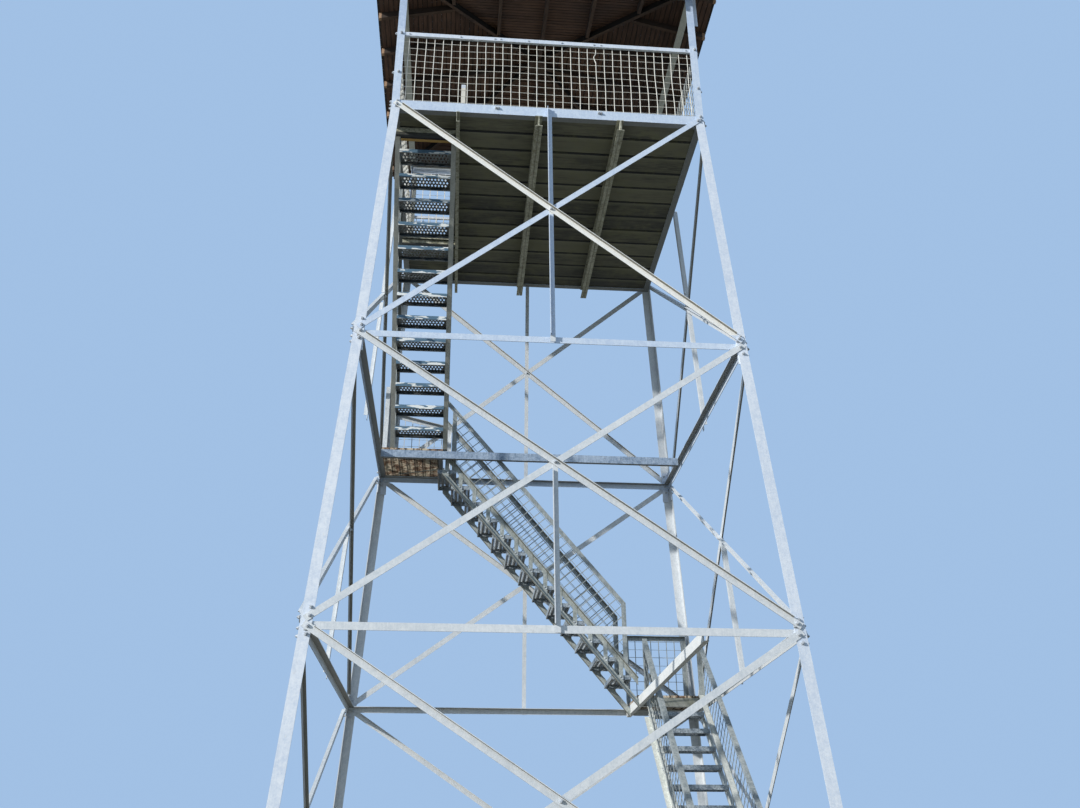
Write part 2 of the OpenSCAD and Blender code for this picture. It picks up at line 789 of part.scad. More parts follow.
module king_block() {
    color(timber) translate([-king_w / 2, -king_w / 2, rafter_z(king_w / 2) - king_drop])
        cube([king_w, king_w, lift + king_drop]);
}

// One side of a pyramid shell whose underside meets the eaves at height z
module roof_side(reach, z, t) {
    base = reach - butt;
    translate([0, -reach, z]) rotate([roof_pitch, 0, 0]) linear_extrude(t)
        polygon([[-base, 0], [base, 0], [0, base / cos(roof_pitch)]]);
}

board_z = rafter_z(eaves) + lift + fit;
module roof_boards() color(timber) each_side() roof_side(eaves, board_z, board_t);

module roof_covering() {
    reach = eaves + covering_lip;
    color("dimgray") each_side() roof_side(reach, board_z + board_t / cos(roof_pitch) - covering_lip * slope + fit, covering_t);
}

base_plates();
leg_front_left();
leg_front_right();
leg_back_right();
leg_back_left();
leg_splices();
struts_level_1();
struts_level_2();
platform_edge_beams();
bracing_front();
bracing_right();
bracing_back();
bracing_left();
platform_joists();
hatch_frame();
platform_deck();
guard_front();
guard_right();
guard_back();
guard_left();
hatch_guard();
roof_posts();
roof_plates();
hip_rafters();
rafters();
king_block();
roof_boards();
roof_covering();
upper_stringers();
upper_treads();
upper_handrails();
landing_2_frame();
landing_2_deck();
landing_2_guard();
middle_stringers();
middle_treads();
middle_handrails();
landing_1_frame();
landing_1_deck();
landing_1_guard();
lower_stringers();
lower_treads();
lower_handrails();
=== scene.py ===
import bpy
import bmesh
import math
import random
from mathutils import Matrix, Vector, noise


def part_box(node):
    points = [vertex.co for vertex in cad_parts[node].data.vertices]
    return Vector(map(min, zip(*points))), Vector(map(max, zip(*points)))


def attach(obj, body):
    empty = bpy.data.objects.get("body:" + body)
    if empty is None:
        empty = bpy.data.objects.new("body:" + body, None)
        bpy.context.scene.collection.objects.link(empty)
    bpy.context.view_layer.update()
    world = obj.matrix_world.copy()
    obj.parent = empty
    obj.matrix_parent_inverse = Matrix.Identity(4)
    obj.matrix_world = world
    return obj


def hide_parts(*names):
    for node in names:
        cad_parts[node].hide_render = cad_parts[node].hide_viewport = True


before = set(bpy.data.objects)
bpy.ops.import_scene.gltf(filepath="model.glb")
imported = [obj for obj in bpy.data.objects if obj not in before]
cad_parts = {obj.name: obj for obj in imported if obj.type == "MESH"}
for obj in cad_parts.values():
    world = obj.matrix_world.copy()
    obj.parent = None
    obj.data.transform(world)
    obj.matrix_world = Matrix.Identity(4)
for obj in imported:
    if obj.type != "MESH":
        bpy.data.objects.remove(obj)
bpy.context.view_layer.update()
print("frame loaded:", len(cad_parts), "nodes")

# Sizes of the tower in metres, as built
tower = {
    "baseHalf": 2.390, "upperHalf": 2.000, "platformHalf": 1.829,
    "lowerLevel": 2.990, "upperLevel": 5.980, "platformLevel": 9.130, "deckTop": 9.1235,
}


def halfWidth(z):
    # Half the width across the legs' outer faces at a height
    foot, wide = 0, tower["baseHalf"]
    for part in ("upper", "platform"):
        level, half = tower[part + "Level"], tower[part + "Half"]
        if z < level:
            return wide + (half - wide) * (z - foot) / (level - foot)
        foot, wide = level, half
    return wide


def faceNormal(z):
    # Outward direction of the front at a height
    if z >= tower["platformLevel"]:
        return Vector((0, -1, 0))
    fall = (halfWidth(z - 0.01) - halfWidth(z)) / 0.01
    return Vector((0, -1, fall)).normalized()


def placeAt(turn, origin):
    return Matrix.Translation(origin) @ Matrix.Rotation(math.radians(turn), 4, "Z")


# Turns the front to each side: front, right, back, left
sideTurns = [placeAt(90 * k, (0, 0, 0)) for k in range(4)]


def tint(red, green, blue, times=1.0):
    # Colour as a screen shows it, turned into the light that a shader works with
    parts = [value / 255 for value in (red, green, blue)]
    parts = [p / 12.92 if p < 0.04045 else ((p + 0.055) / 1.055) ** 2.4 for p in parts]
    return tuple(times * part for part in parts) + (1.0,)


# Nodes of shaders and of Geometry Nodes

class Field:
    # A value in a node tree that adds its Math nodes when it is used in a sum
    def __init__(self, builder, socket):
        self.builder = builder
        self.socket = socket

    def math(self, operation, first, second=0.0):
        node = self.builder.node("ShaderNodeMath", {0: first, 1: second}, operation=operation)
        return Field(self.builder, node.outputs[0])

    def __add__(self, other):
        return self.math("ADD", self, other)

    def __sub__(self, other):
        return self.math("SUBTRACT", self, other)

    def __rsub__(self, other):
        return self.math("SUBTRACT", other, self)

    def __mul__(self, other):
        return self.math("MULTIPLY", self, other)

    __radd__, __rmul__ = __add__, __mul__

    def __truediv__(self, other):
        return self.math("DIVIDE", self, other) if isinstance(other, Field) else self * (1 / other)

    def __abs__(self):
        return self.math("ABSOLUTE", self)

    def over(self, other):
        return self.math("GREATER_THAN", self, other)

    def floor(self):
        return self.math("FLOOR", self)

    def within(self, low, high):
        # 0 at low, 1 at high, with a soft start and end
        node = self.builder.node("ShaderNodeMapRange", {"Value": self, "From Min": low, "From Max": high},
                                 interpolation_type="SMOOTHSTEP")
        return Field(self.builder, node.outputs["Result"])


class Builder:
    # Adds nodes to a tree
    def __init__(self, tree):
        self.tree = tree

    def node(self, kind, inputs=None, **settings):
        # An input is a number, a colour, a field, a socket, or a node that stands for its first output
        node = self.tree.nodes.new(kind)
        for name, value in settings.items():
            setattr(node, name, value)
        for name, value in (inputs or {}).items():
            if isinstance(value, Field):
                value = value.socket
            elif isinstance(value, bpy.types.Node):
                value = value.outputs[0]
            if isinstance(value, bpy.types.NodeSocket):
                self.tree.links.new(value, node.inputs[name])
            else:
                node.inputs[name].default_value = value
        return node

    def point(self, x, y, z):
        return self.node("ShaderNodeCombineXYZ", {0: x, 1: y, 2: z})


def emptyTree(owner):
    owner.use_nodes = True
    owner.node_tree.nodes.clear()
    return owner.node_tree


class Paint(Builder):
    # A material, what its patterns are made of, and its colour so far
    def __init__(self, name):
        self.material = bpy.data.materials.new(name)
        super().__init__(emptyTree(self.material))
        self.place = self.node("ShaderNodeTexCoord").outputs["Object"]
        self.x, self.y, self.z = self.parts(self.place)
        self.nx, self.ny, self.nz = self.parts(self.node("ShaderNodeNewGeometry").outputs["Normal"])

    def parts(self, vector):
        split = self.node("ShaderNodeSeparateXYZ", {0: vector})
        return [Field(self, split.outputs[k]) for k in range(3)]

    def slope(self):
        # On the roof: 1 on the left and right sides, then the way up the slope and the way along it
        side = abs(self.x).over(abs(self.y))
        return side, side * self.x + (1 - side) * self.y, side * self.y + (1 - side) * self.x

    def noise(self, scale, detail=3.0, roughness=0.55, stretch=(1, 1, 1), distortion=0.0, vector=None):
        place = self.node("ShaderNodeMapping", {"Vector": vector or self.place, "Scale": stretch})
        node = self.node("ShaderNodeTexNoise", {
            "Vector": place, "Scale": scale, "Detail": detail, "Roughness": roughness,
            "Distortion": distortion})
        return Field(self, node.outputs["Fac"])

    def cells(self, scale):
        # One random value for each cell
        node = self.node("ShaderNodeTexVoronoi", {"Vector": self.place, "Scale": scale}, feature="F1")
        return Field(self, self.node("ShaderNodeSeparateColor", {0: node.outputs["Color"]}).outputs[0])

    def chance(self, first, second, third=0.0):
        # One random value for each set of whole numbers
        node = self.node("ShaderNodeTexWhiteNoise", {"Vector": self.point(first, second, third)},
                         noise_dimensions="3D")
        return Field(self, node.outputs["Value"])

    def mix(self, factor, *colors):
        # A colour is another mix, or red, green and blue as a screen shows them
        first, second = (tint(*color) if isinstance(color, tuple) else color for color in colors)
        return self.node("ShaderNodeMix", {0: factor, 6: first, 7: second}, data_type="RGBA").outputs[2]

    def cover(self, mask, color):
        self.color = self.mix(mask, self.color, color)

    def finish(self, roughness, height, distance, metallic=0.0, coarse=None):
        relief = {"Strength": 0.5, "Distance": distance, "Height": height}
        if coarse is not None:      # wide, shallow waves below the fine relief
            relief["Normal"] = self.node("ShaderNodeBump", {
                "Strength": 0.6, "Distance": 0.0015, "Height": coarse})
        shader = self.node("ShaderNodeBsdfPrincipled", {
            "Base Color": self.color, "Roughness": roughness, "Metallic": metallic,
            "Normal": self.node("ShaderNodeBump", relief)})
        self.node("ShaderNodeOutputMaterial", {"Surface": shader})
        return self.material


# Steel

zinc = {
    "crystals": 70,      # cells in a metre
    "mottle": 16, "runs": (9, 9, 1.1),
    "tarnishAndShade": (86, 80, 60), "rust": (122, 74, 44), "chalk": (238, 236, 230),
    # bluish and blue: zinc's tone with a painted reflection of the blue sky
    "bluish": ((202, 215, 234), (233, 240, 250)),
    "blue": ((188, 205, 230), (217, 230, 246)),
    "grey": ((200, 208, 216), (230, 234, 238)),
}
outerBrace = {   # the brace in front of its pair in the top storey, in metres
    "from": 6.1, "crossing": 7.658, "lean": 0.0543,
    "out": 0.0125,                       # from the leaning face
    "hanger": 0.04, "clear": 0.07,       # half the hanger's width, which is cut clear of the crossing
}


def zincSteel(name, tarnishAndShade=0.8, rust=0.12, tones=zinc["bluish"], high=None, front=None, outer=None):
    # Hot-dip galvanised steel: crystals, mottling, runs of rain, undersides darkened where the zinc is
    # tarnished and by painted shade, and a little rust
    paint = Paint(name)
    crystals = paint.cells(zinc["crystals"])
    fine = paint.noise(260, 2)
    mottle = paint.noise(zinc["mottle"], 4, 0.6)
    runs = paint.noise(6, 3, 0.6, zinc["runs"])
    wide = paint.noise(1.3, 2)
    tone = (crystals * 0.15 + mottle * 0.5 + runs * 0.35 + (wide - 0.5) * 0.3).within(0.22, 0.76)
    paint.color = paint.mix(tone, *tones)
    if high:      # a height and the tones above it: bluish painted sky light on a guard's rail, darker blue painted shade on the tops of the roof posts
        paint.cover(paint.z.over(high[0]), paint.mix(tone, *high[1]))
    if outer:     # the tones of the outer brace, which is whiter: painted sunlight
        b = outerBrace
        out = (paint.z - tower["upperLevel"]) * b["lean"] - paint.y - tower["upperHalf"]
        hanger = (b["hanger"] - abs(paint.x)).over(0) * abs(paint.z - b["crossing"]).over(b["clear"])
        brace = out.over(b["out"]) * paint.z.over(b["from"]) * (1 - hanger)
        paint.cover(brace, paint.mix(tone, *outer))
    if front:     # painted shade on the sides that look to the front
        paint.cover((0 - paint.ny).within(0.5, 0.9) * (0.6 + mottle * 0.5), front)
    chalk = paint.noise(34, 5, 0.7, (1, 1, 0.5)).within(0.62, 0.74)
    paint.cover(chalk * 0.6, zinc["chalk"])
    # Down-facing faces: tarnished zinc together with painted shade
    dull = ((0 - paint.nz) + (mottle - 0.5) * 0.5).within(0.2, 0.6) * tarnishAndShade
    paint.cover(dull, zinc["tarnishAndShade"])
    spots = (paint.noise(21, 6, 0.7) + (wide - 0.5) * 0.5).within(0.66, 0.78)
    paint.cover(spots * rust, zinc["rust"])
    roughness = 0.42 + mottle * 0.2 + dull * 0.2 + spots * rust * 0.3 - crystals * 0.08
    height = crystals * 0.5 + fine * 0.25 + spots * rust
    return paint.finish(roughness, height, 0.0006, (1 - spots * rust) * 0.1, mottle)


def joistSteel(name, under=(92, 86, 64), cover=0.25, foot=None):
    # Steel that was galvanised long ago: dull olive grey with drips along its length, undersides darkened
    # where tarnished and by painted shade, black below foot
    paint = Paint(name)
    mottle = paint.noise(12, 5, 0.65)
    tone = mottle * 0.5 + paint.noise(10, 4, 0.6, (1, 0.25, 1)) * 0.35 + paint.cells(52) * 0.15
    paint.color = paint.mix(tone.within(0.34, 0.66), (130, 129, 108), (204, 204, 188))
    # Undersides: tarnished steel together with painted shade
    paint.cover((0 - paint.nz).within(0.3, 0.8) * cover, under)
    rust = paint.noise(17, 6, 0.7).within(0.6, 0.74)
    paint.cover(rust * 0.5, (112, 74, 48))
    if foot:
        paint.cover((foot - paint.z).over(0) * 0.9, (28, 31, 31))
    return paint.finish(0.55 + mottle * 0.2, mottle * 0.6 + rust * 0.6, 0.001, 0.1)


def treadSteel(name, lastEdge=None, going=0.18):
    # Galvanised plate worn by feet on top, dark and rusty below. From lastEdge on, a going apart, the
    # treads' front edges get bluish painted shade with bright painted patches of sun, and their far edges
    # painted black shade.
    paint = Paint(name)
    mottle = paint.noise(18, 5, 0.65)
    wash = paint.noise(7, 3, 0.6, (1, 1, 3))
    tone = mottle * 0.45 + wash * 0.3 + paint.cells(80) * 0.25
    paint.color = paint.mix(tone.within(0.32, 0.68), (108, 120, 132), (178, 188, 196))
    down = (0 - paint.nz + (mottle - 0.5) * 0.8).within(0.1, 0.7)
    paint.cover(down * 0.6, (112, 110, 100))
    rust = (paint.noise(26, 6, 0.7) + down * 0.1).within(0.58, 0.72)
    paint.cover(rust * 0.55, (96, 58, 38))
    if lastEdge is not None:
        # Painted light on the upright edges: bluish shade, bright patches of sun, and black shade on the
        # far edges
        upright = abs(paint.ny).over(0.7)
        paintedSunFlecks = paint.noise(4, 2, 0.5, (1.6, 0.3, 7)).within(0.52, 0.56)
        paint.cover(upright, paint.mix(paintedSunFlecks, (88, 118, 140), (236, 240, 240)))
        place = (paint.y - lastEdge) / going
        paint.cover((place - place.floor()).over(0.977) * upright * 0.85, (30, 32, 32))
    return paint.finish(0.45 + mottle * 0.25 + rust * 0.2, mottle * 0.5 + rust, 0.0008, (1 - rust) * 0.2)


def rustyGrating(name, firstRod=0.0, pitch=0.1016):
    # Bars with rust, cream blotches where the zinc is left, dark lines along the rods and black dirt
    paint = Paint(name)
    blotch = paint.noise(9, 5, 0.65)
    grain = paint.noise(120, 4, 0.7)
    tone = blotch * 0.7 + grain * 0.3
    paint.color = paint.mix(tone.within(0.36, 0.54), (74, 54, 42), (150, 112, 84))
    left = (blotch + (grain - 0.5) * 0.5).within(0.42, 0.56)
    paint.cover(left * 0.9, (214, 204, 184))
    place = (paint.x - firstRod) / pitch + 0.5
    rods = 1 - (abs(place - place.floor() - 0.5) + (grain - 0.5) * 0.12).within(0.05, 0.13)
    paint.cover(rods * 0.85, (34, 28, 24))
    black = (paint.noise(14, 4, 0.7) + (blotch - 0.5) * 0.3).within(0.56, 0.62)
    paint.cover(black * 0.8, (44, 32, 26))
    return paint.finish(0.6 + grain * 0.25, grain * 0.6 + paint.cells(240) * 0.4, 0.0012, left * 0.15)


# Timber

planks = {"count": 12, "pitch": 0.301667, "gap": 0.010, "half": 1.810, "thick": 0.050,
          "worn": 0.027, "eased": 0.004, "hatch": ((-1.745, -1.258, 9.0), (-1.135, 0.700, 9.2))}
wear = {   # where timber has another colour, some of it painted shade, in metres
    "hatchSide": -1.125, "dark": (-1.46, -1.302), "bare": (-1.302, -1.255),      # the deck at the hatch: a band of painted shade, then bare timber
    "tails": 2.125,                            # the rafters' ends
    "eaves": 2.160, "boardPitch": 0.0616,      # the joints between the roof boards, with painted shade
    "bay": 0.61,                               # a rafter apart, timber has another tone
}


def timber(name, kind, dark, light, knots=0.5):
    # Grain along X on the deck. On the roof it runs along the boards, and up the rafters and hips.
    paint = Paint(name)
    x, y, z = paint.x, paint.y, paint.z
    if kind == "deck":
        along, across = x, y
        place = (y + planks["half"]) / planks["pitch"]
        number, seeds = place.floor(), (3.0, 7.0)
    else:
        side, up, level = paint.slope()
        along, across = (level, up) if kind == "boards" else (up, level)
        number, seeds = (across / wear["bay"] + 0.5).floor(), (5.0, 9.0)
    shift, tone = paint.chance(number, seeds[0]) * 9, paint.chance(number, seeds[1])
    where = paint.point(along + shift, across + shift, z)
    fibres = paint.noise(70, 5, 0.65, (0.07, 1, 1), 0.4, where)
    rings = paint.noise(16, 4, 0.6, (0.12, 1, 1), 1.6, where)
    stain = paint.noise(2.2, 4, 0.6, (0.6, 1, 1), 0, where)
    knot = 1 - paint.noise(5, 1, 0.5, (0.45, 1, 1), 0, where).within(0.2, 0.3)
    grain = fibres * 0.5 + rings * 0.5 + (tone - 0.5) * 0.35 + (stain - 0.5) * 0.6
    paint.color = paint.mix(grain.within(0.25, 0.75), dark, light)
    paint.cover(knot * knots, dark + (0.45,))
    if kind == "deck":      # below: a painted highlight next to each front edge, and painted black shade on the faces that look to the front
        under = (0 - paint.nz).over(0.5)
        paintedHighlight = 1 - (place - number).within(0.06, 0.4)
        paint.cover(paintedHighlight * 0.5 * under, (134, 134, 114))
        paint.cover((0 - paint.ny).within(0.2, 0.4), (16, 18, 15))
        # At the hatch: a band of painted shade, then bare tan timber
        for band, color in (("dark", (22, 22, 20)), ("bare", (222, 180, 110))):
            start, end = wear[band]
            hatch = (wear["hatchSide"] - x).over(0) * under
            paint.cover(hatch * (y - start).over(0) * (end - y).over(0), color)
        green = (paint.noise(6, 6, 0.7) + (stain - 0.5)).within(0.5, 0.66)
        paint.cover(green * 0.25, (112, 112, 78))
    elif kind == "boards":      # painted shade along the joints
        place = (wear["eaves"] - abs(up)) / wear["boardPitch"]
        paint.cover((1 - (place - place.floor()).within(0.1, 0.24)) * 0.8, (14, 10, 9))
    else:                       # the sides get painted shade, the rafters' tails are pale
        sides = (22, 18, 15) if kind == "hips" else (64, 53, 47)
        paint.color = paint.mix(abs(paint.nz).within(0.2, 0.6), sides, paint.color)
        if kind == "rafters":
            paint.cover(abs(up).over(wear["tails"]), (178, 146, 120))
    return paint.finish(0.72 + fibres * 0.2, fibres * 0.7 + rings * 0.4 - knot * 0.3, 0.0022)


shingleTone = {"lowest": 2.18, "course": 0.1213, "perMetre": 8.5}


def shingleWood(name):
    # Weathered shingles: a tone for each one, grain up the slope, lichen and painted shade on their
    # undersides
    paint = Paint(name)
    side, up, level = paint.slope()
    fibres = paint.noise(60, 5, 0.7, (0.1, 1, 0.4), 0.3, paint.point(up, level, paint.z))
    course = ((shingleTone["lowest"] - abs(up)) / shingleTone["course"]).floor()
    number = (level * shingleTone["perMetre"] + paint.chance(course, 2.0)).floor()
    tone = fibres * 0.5 + paint.chance(course, number, side) * 0.28 + paint.noise(3.1, 5, 0.65) * 0.24
    paint.color = paint.mix(tone.within(0.3, 0.75), (92, 82, 70), (168, 158, 142))
    lichen = paint.noise(27, 6, 0.75).within(0.6, 0.7)
    paint.cover(lichen * 0.35, (146, 152, 120))
    # Painted shade on the undersides
    paint.cover((0 - paint.nz).within(0.2, 0.5), (48, 40, 36))
    return paint.finish(0.8 + fibres * 0.15, fibres + lichen * 0.4, 0.002)


aboveMesh = (10.213, zinc["bluish"])      # the guards' rails, whose bluish tones above the mesh are painted sky light
frameSteel = zincSteel("zincFrame")
braceSteel = zincSteel("zincBraces", 0.8, 0.1, zinc["grey"])
# Above the upper level the front bracing takes bluish tones, painted sky light, and the outer brace whiter
# ones, painted sunlight
frontBraceSteel = zincSteel("zincFrontBraces", 0.8, 0.1, zinc["grey"],
                            (6.02, ((190, 206, 230), (218, 230, 246))),
                            outer=((232, 234, 232), (252, 252, 250)))
beamSteel = zincSteel("zincBeams", 0.8, 0.1, zinc["blue"])
# The tops of the roof posts take darker blue tones: painted shade of the roof
postSteel = zincSteel("zincPosts", 0.8, 0.1, zinc["blue"], (10.32, ((172, 193, 222), (206, 221, 242))))
# Cream tones on the guards' bars: the zinc with painted sunlight
guardSteel = zincSteel("zincGuards", 0.05, 0.15, ((222, 219, 208), (247, 245, 238)), aboveMesh)
# The right and back guards: greyer, darker tones that are painted shade of the roof, with more tarnished
# zinc and rust
guardSteelPaintedShade = zincSteel("zincDullGuards", 0.5, 0.2, ((146, 152, 152), (196, 200, 197)), aboveMesh)
railSteel = zincSteel("zincLandingRails", 0.4, 0.2, ((186, 194, 202), (228, 232, 236)))
handrailSteel = zincSteel("zincHandrails", 0.6, 0.25, ((118, 128, 132), (182, 188, 188)))
stairSteel = zincSteel("zincStair", 0.7, 0.4, ((126, 134, 132), (192, 198, 196)))
flightSteel = zincSteel("zincFlights", 0.5, 0.25, ((178, 185, 184), (228, 231, 227)))
# The lower landing's frame: whiter tones that stand in for sunlight, and painted shade on the sides that
# look to the front
whiteSteel = zincSteel("zincWhite", 0.5, 0.1, ((222, 227, 230), (248, 249, 248)), front=(112, 114, 100))
# The upper landing's frame: darker blue tones, painted shade
landingSteel = zincSteel("zincLandings", 0.8, 0.2, ((100, 122, 150), (178, 196, 218)))
boltSteel = zincSteel("zincBolts", 0.3, 0.3, ((172, 182, 194), (228, 233, 240)))
roofSteel = zincSteel("zincRoof", 0.15, 0.1, ((202, 207, 203), (234, 237, 231)))
joistFinish = joistSteel("dullJoists")
# The hatch frame: near-black undersides, painted shade
hatchFinish = joistSteel("dullHatch", (34, 38, 40), 0.9, 9.006)
treadFinish = treadSteel("wornTreads")
upperTreadFinish = treadSteel("wornTreadsUpper", -1.258)
gratingFinish = rustyGrating("rustyGrating")
deckFinish = timber("deckPlanks", "deck", (42, 41, 33), (110, 109, 92))
hipFinish = timber("hipTimber", "hips", (58, 44, 36), (104, 82, 68))
rafterFinish = timber("rafterTimber", "rafters", (58, 44, 36), (104, 82, 68))
boardFinish = timber("roofBoardTimber", "boards", (66, 48, 40), (124, 94, 78), 0.6)
shingleFinish = shingleWood("weatheredShingles")
print("materials made")

finishes = {   # a node takes the first finish whose word is in its name
    "bracing_front": frontBraceSteel, "bracing": braceSteel, "leg_back": braceSteel, "level_1": braceSteel,
    "level_2": beamSteel, "beams": beamSteel, "leg": frameSteel, "base": frameSteel, "posts": postSteel,
    "roof_plates": roofSteel, "joists": joistFinish, "hatch_frame": hatchFinish,
    "platform_deck": deckFinish, "deck": gratingFinish, "hip": hipFinish, "rafters": rafterFinish,
    "king": rafterFinish, "boards": boardFinish, "covering": shingleFinish,
    "landing_2_frame": landingSteel, "landing_1_frame": whiteSteel, "landing_2_guard": railSteel,
    "landing_1_guard": handrailSteel, "guard_right": guardSteelPaintedShade, "guard_back": guardSteelPaintedShade,
    "guard": guardSteel, "handrails": handrailSteel, "treads": treadFinish,
    "middle_stringers": stairSteel, "stringers": flightSteel,
}
for name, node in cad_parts.items():
    finish = next(finish for word, finish in finishes.items() if word in name)
    slots = node.data.materials
    if not slots:
        slots.append(finish)
    for k in range(len(slots)):
        slots[k] = finish


# Pieces made in Blender

def newPiece(name, data):
    piece = bpy.data.objects.new(name, data)
    bpy.context.scene.collection.objects.link(piece)
    return piece


def toMesh(name, bm):
    bmesh.ops.recalc_face_normals(bm, faces=bm.faces)
    mesh = bpy.data.meshes.new(name)
    bm.to_mesh(mesh)
    bm.free()
    return mesh


def fromMesh(name, bm, material):
    mesh = toMesh(name, bm)
    mesh.materials.append(material)
    return newPiece(name, mesh)


def mount(piece, *nodes, slot="galvanised_steel"):
    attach(piece, "root")
    if nodes:
        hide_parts(*nodes)
    print("piece", piece.name, len(piece.data.polygons), "faces")


def addShell(bm, low, high):
    # Two outlines with as many points, closed round
    bottom, top = [bm.verts.new(p) for p in low], [bm.verts.new(p) for p in high]
    bm.faces.new(bottom[::-1])
    bm.faces.new(top)
    for k in range(len(low)):
        n = (k + 1) % len(low)
        bm.faces.new([bottom[k], bottom[n], top[n], top[k]])


def addPrism(bm, outline, lift):
    addShell(bm, outline, [Vector(p) + lift for p in outline])


def addBox(bm, low, high):
    (x0, y0, z0), (x1, y1, z1) = low, high
    addShell(bm, *([(x0, y0, z), (x1, y0, z), (x1, y1, z), (x0, y1, z)] for z in (z0, z1)))


class Group(Builder):
    # A Geometry Nodes tree with named inputs, between its geometry and its material
    def __init__(self, name, inputs):
        super().__init__(bpy.data.node_groups.new(name, "GeometryNodeTree"))
        self.declare("Geometry", "Geometry")
        for label, value in inputs.items():
            self.declare(label, "Int" if isinstance(value, int) else "Float").default_value = value
        self.declare("Material", "Material")
        self.declare("Geometry", "Geometry", "OUTPUT")
        source = self.node("NodeGroupInput").outputs
        self.geometry, self.material = source["Geometry"], source["Material"]
        self.fields = [Field(self, source[label]) for label in inputs]

    def declare(self, label, kind, way="INPUT"):
        return self.tree.interface.new_socket(label, in_out=way, socket_type="NodeSocket" + kind)

    def repeat(self, instance, count, start, step):
        line = self.node("GeometryNodeMeshLine", {"Count": count, "Start Location": start, "Offset": step},
                         mode="OFFSET")
        return self.node("GeometryNodeInstanceOnPoints", {"Points": line, "Instance": instance})

    def joined(self, parts):
        whole = self.node("GeometryNodeJoinGeometry")
        for part in parts:
            self.tree.links.new(part.outputs[0], whole.inputs[0])
        return whole

    def close(self, geometry):
        real = self.node("GeometryNodeRealizeInstances", {"Geometry": geometry})
        painted = self.node("GeometryNodeSetMaterial", {"Geometry": real, "Material": self.material})
        self.node("NodeGroupOutput", {"Geometry": painted})
        return self.tree


def settle(piece):
    # What the piece's modifiers make becomes its own mesh
    bpy.context.view_layer.update()
    graph = bpy.context.evaluated_depsgraph_get()
    settled = bpy.data.meshes.new_from_object(piece.evaluated_get(graph), depsgraph=graph)
    piece.modifiers.clear()
    piece.data = settled
    return piece


def grow(name, mesh, group, values):
    piece = newPiece(name, mesh)
    modifier = piece.modifiers.new("build", "NODES")
    modifier.node_group = group
    for item in group.interface.items_tree:
        if item.item_type == "SOCKET" and item.in_out == "INPUT" and item.name in values:
            modifier[item.identifier] = values[item.name]
    return settle(piece)


def pointMesh(name, points):
    # Loose points, each with the direction that it faces
    mesh = bpy.data.meshes.new(name)
    mesh.from_pydata([p for p, facing in points], [], [])
    attribute = mesh.attributes.new("facing", "FLOAT_VECTOR", "POINT")
    attribute.data.foreach_set("vector", [part for p, facing in points for part in facing])
    return mesh


boltLabels = ("Width", "Height", "Washer", "Shank", "Tail", "Seed")
boltSizes = {
    "frame_bolts": (0.028, 0.016, 0.018, 0.020, 0.009, 3),
    "frame_nuts": (0.024, 0.012, 0.016, 0.020, 0.010, 8),
    "small_bolts": (0.016, 0.007, 0.011, 0.012, -0.003, 5),
    "anchor_nuts": (0.030, 0.016, 0.022, 0.015, 0.022, 2),
}


def buildBoltGroup():
    group = Group("boltHeads", dict(zip(boltLabels, boltSizes["frame_bolts"])))
    width, height, washer, shank, tail, seed = group.fields
    washerTop = 0.003
    headTop = height + washerTop

    def barrel(sides, radius, low, high):
        solid = group.node("GeometryNodeMeshCylinder", {
            "Vertices": sides, "Radius": radius, "Depth": high - low})
        middle = group.point(0, 0, (low + high) * 0.5)
        return group.node("GeometryNodeTransform", {"Geometry": solid, "Translation": middle})

    bolt = group.joined([barrel(6, width * 0.577, washerTop, headTop),
                       barrel(14, washer, -0.001, washerTop),
                       barrel(8, width * 0.31, shank * -1.0, headTop + tail)])
    facing = group.node("GeometryNodeInputNamedAttribute", {"Name": "facing"}, data_type="FLOAT_VECTOR")
    aim = group.node("FunctionNodeAlignRotationToVector", {"Vector": facing}, axis="Z")
    spin = group.node("FunctionNodeRandomValue", {2: 0.0, 3: math.tau, "Seed": seed}, data_type="FLOAT")
    turn = group.node("FunctionNodeAxisAngleToRotation", {"Angle": spin.outputs[1]})
    rotation = group.node("FunctionNodeRotateRotation", {0: aim, 1: turn}, rotation_space="LOCAL")
    return group.close(group.node("GeometryNodeInstanceOnPoints", {
        "Points": group.geometry, "Instance": bolt, "Rotation": rotation}))


def buildWireGroup():
    group = Group("bentWires", {"Thickness": 0.005, "Waviness": 0.002, "Sides": 6, "Step": 0.06,
                                "Seed": 4.0})
    thickness, waviness, sides, step, seed = group.fields
    curve = group.node("GeometryNodeMeshToCurve", {"Mesh": group.geometry})
    fine = group.node("GeometryNodeResampleCurve", {"Curve": curve, "Length": step}, mode="LENGTH")
    waves = group.node("ShaderNodeTexNoise", {"W": seed, "Scale": 7.0, "Detail": 1.0},
                       noise_dimensions="4D")
    centred = group.node("ShaderNodeVectorMath", {0: waves.outputs["Color"], 1: (0.5, 0.5, 0.5)},
                         operation="SUBTRACT")
    offset = group.node("ShaderNodeVectorMath", {0: centred, "Scale": waviness}, operation="SCALE")
    bent = group.node("GeometryNodeSetPosition", {"Geometry": fine, "Offset": offset})
    outline = group.node("GeometryNodeCurvePrimitiveCircle", {
        "Resolution": sides, "Radius": thickness * 0.5})
    return group.close(group.node("GeometryNodeCurveToMesh", {
        "Curve": bent, "Profile Curve": outline, "Fill Caps": True}))


def buildFlightGroup():
    group = Group("flightOfTreads", {"Treads": 13, "Going": 0.18, "Rise": 0.22})
    treads, going, rise = group.fields
    step = group.point(going, 0, rise * -1.0)
    return group.close(group.repeat(group.geometry, treads, step, step))


gratings = {"Depth": 0.025, "Bar": 0.004, "Bar Pitch": 0.030, "Rod": 0.007, "Rod Pitch": 0.1016}


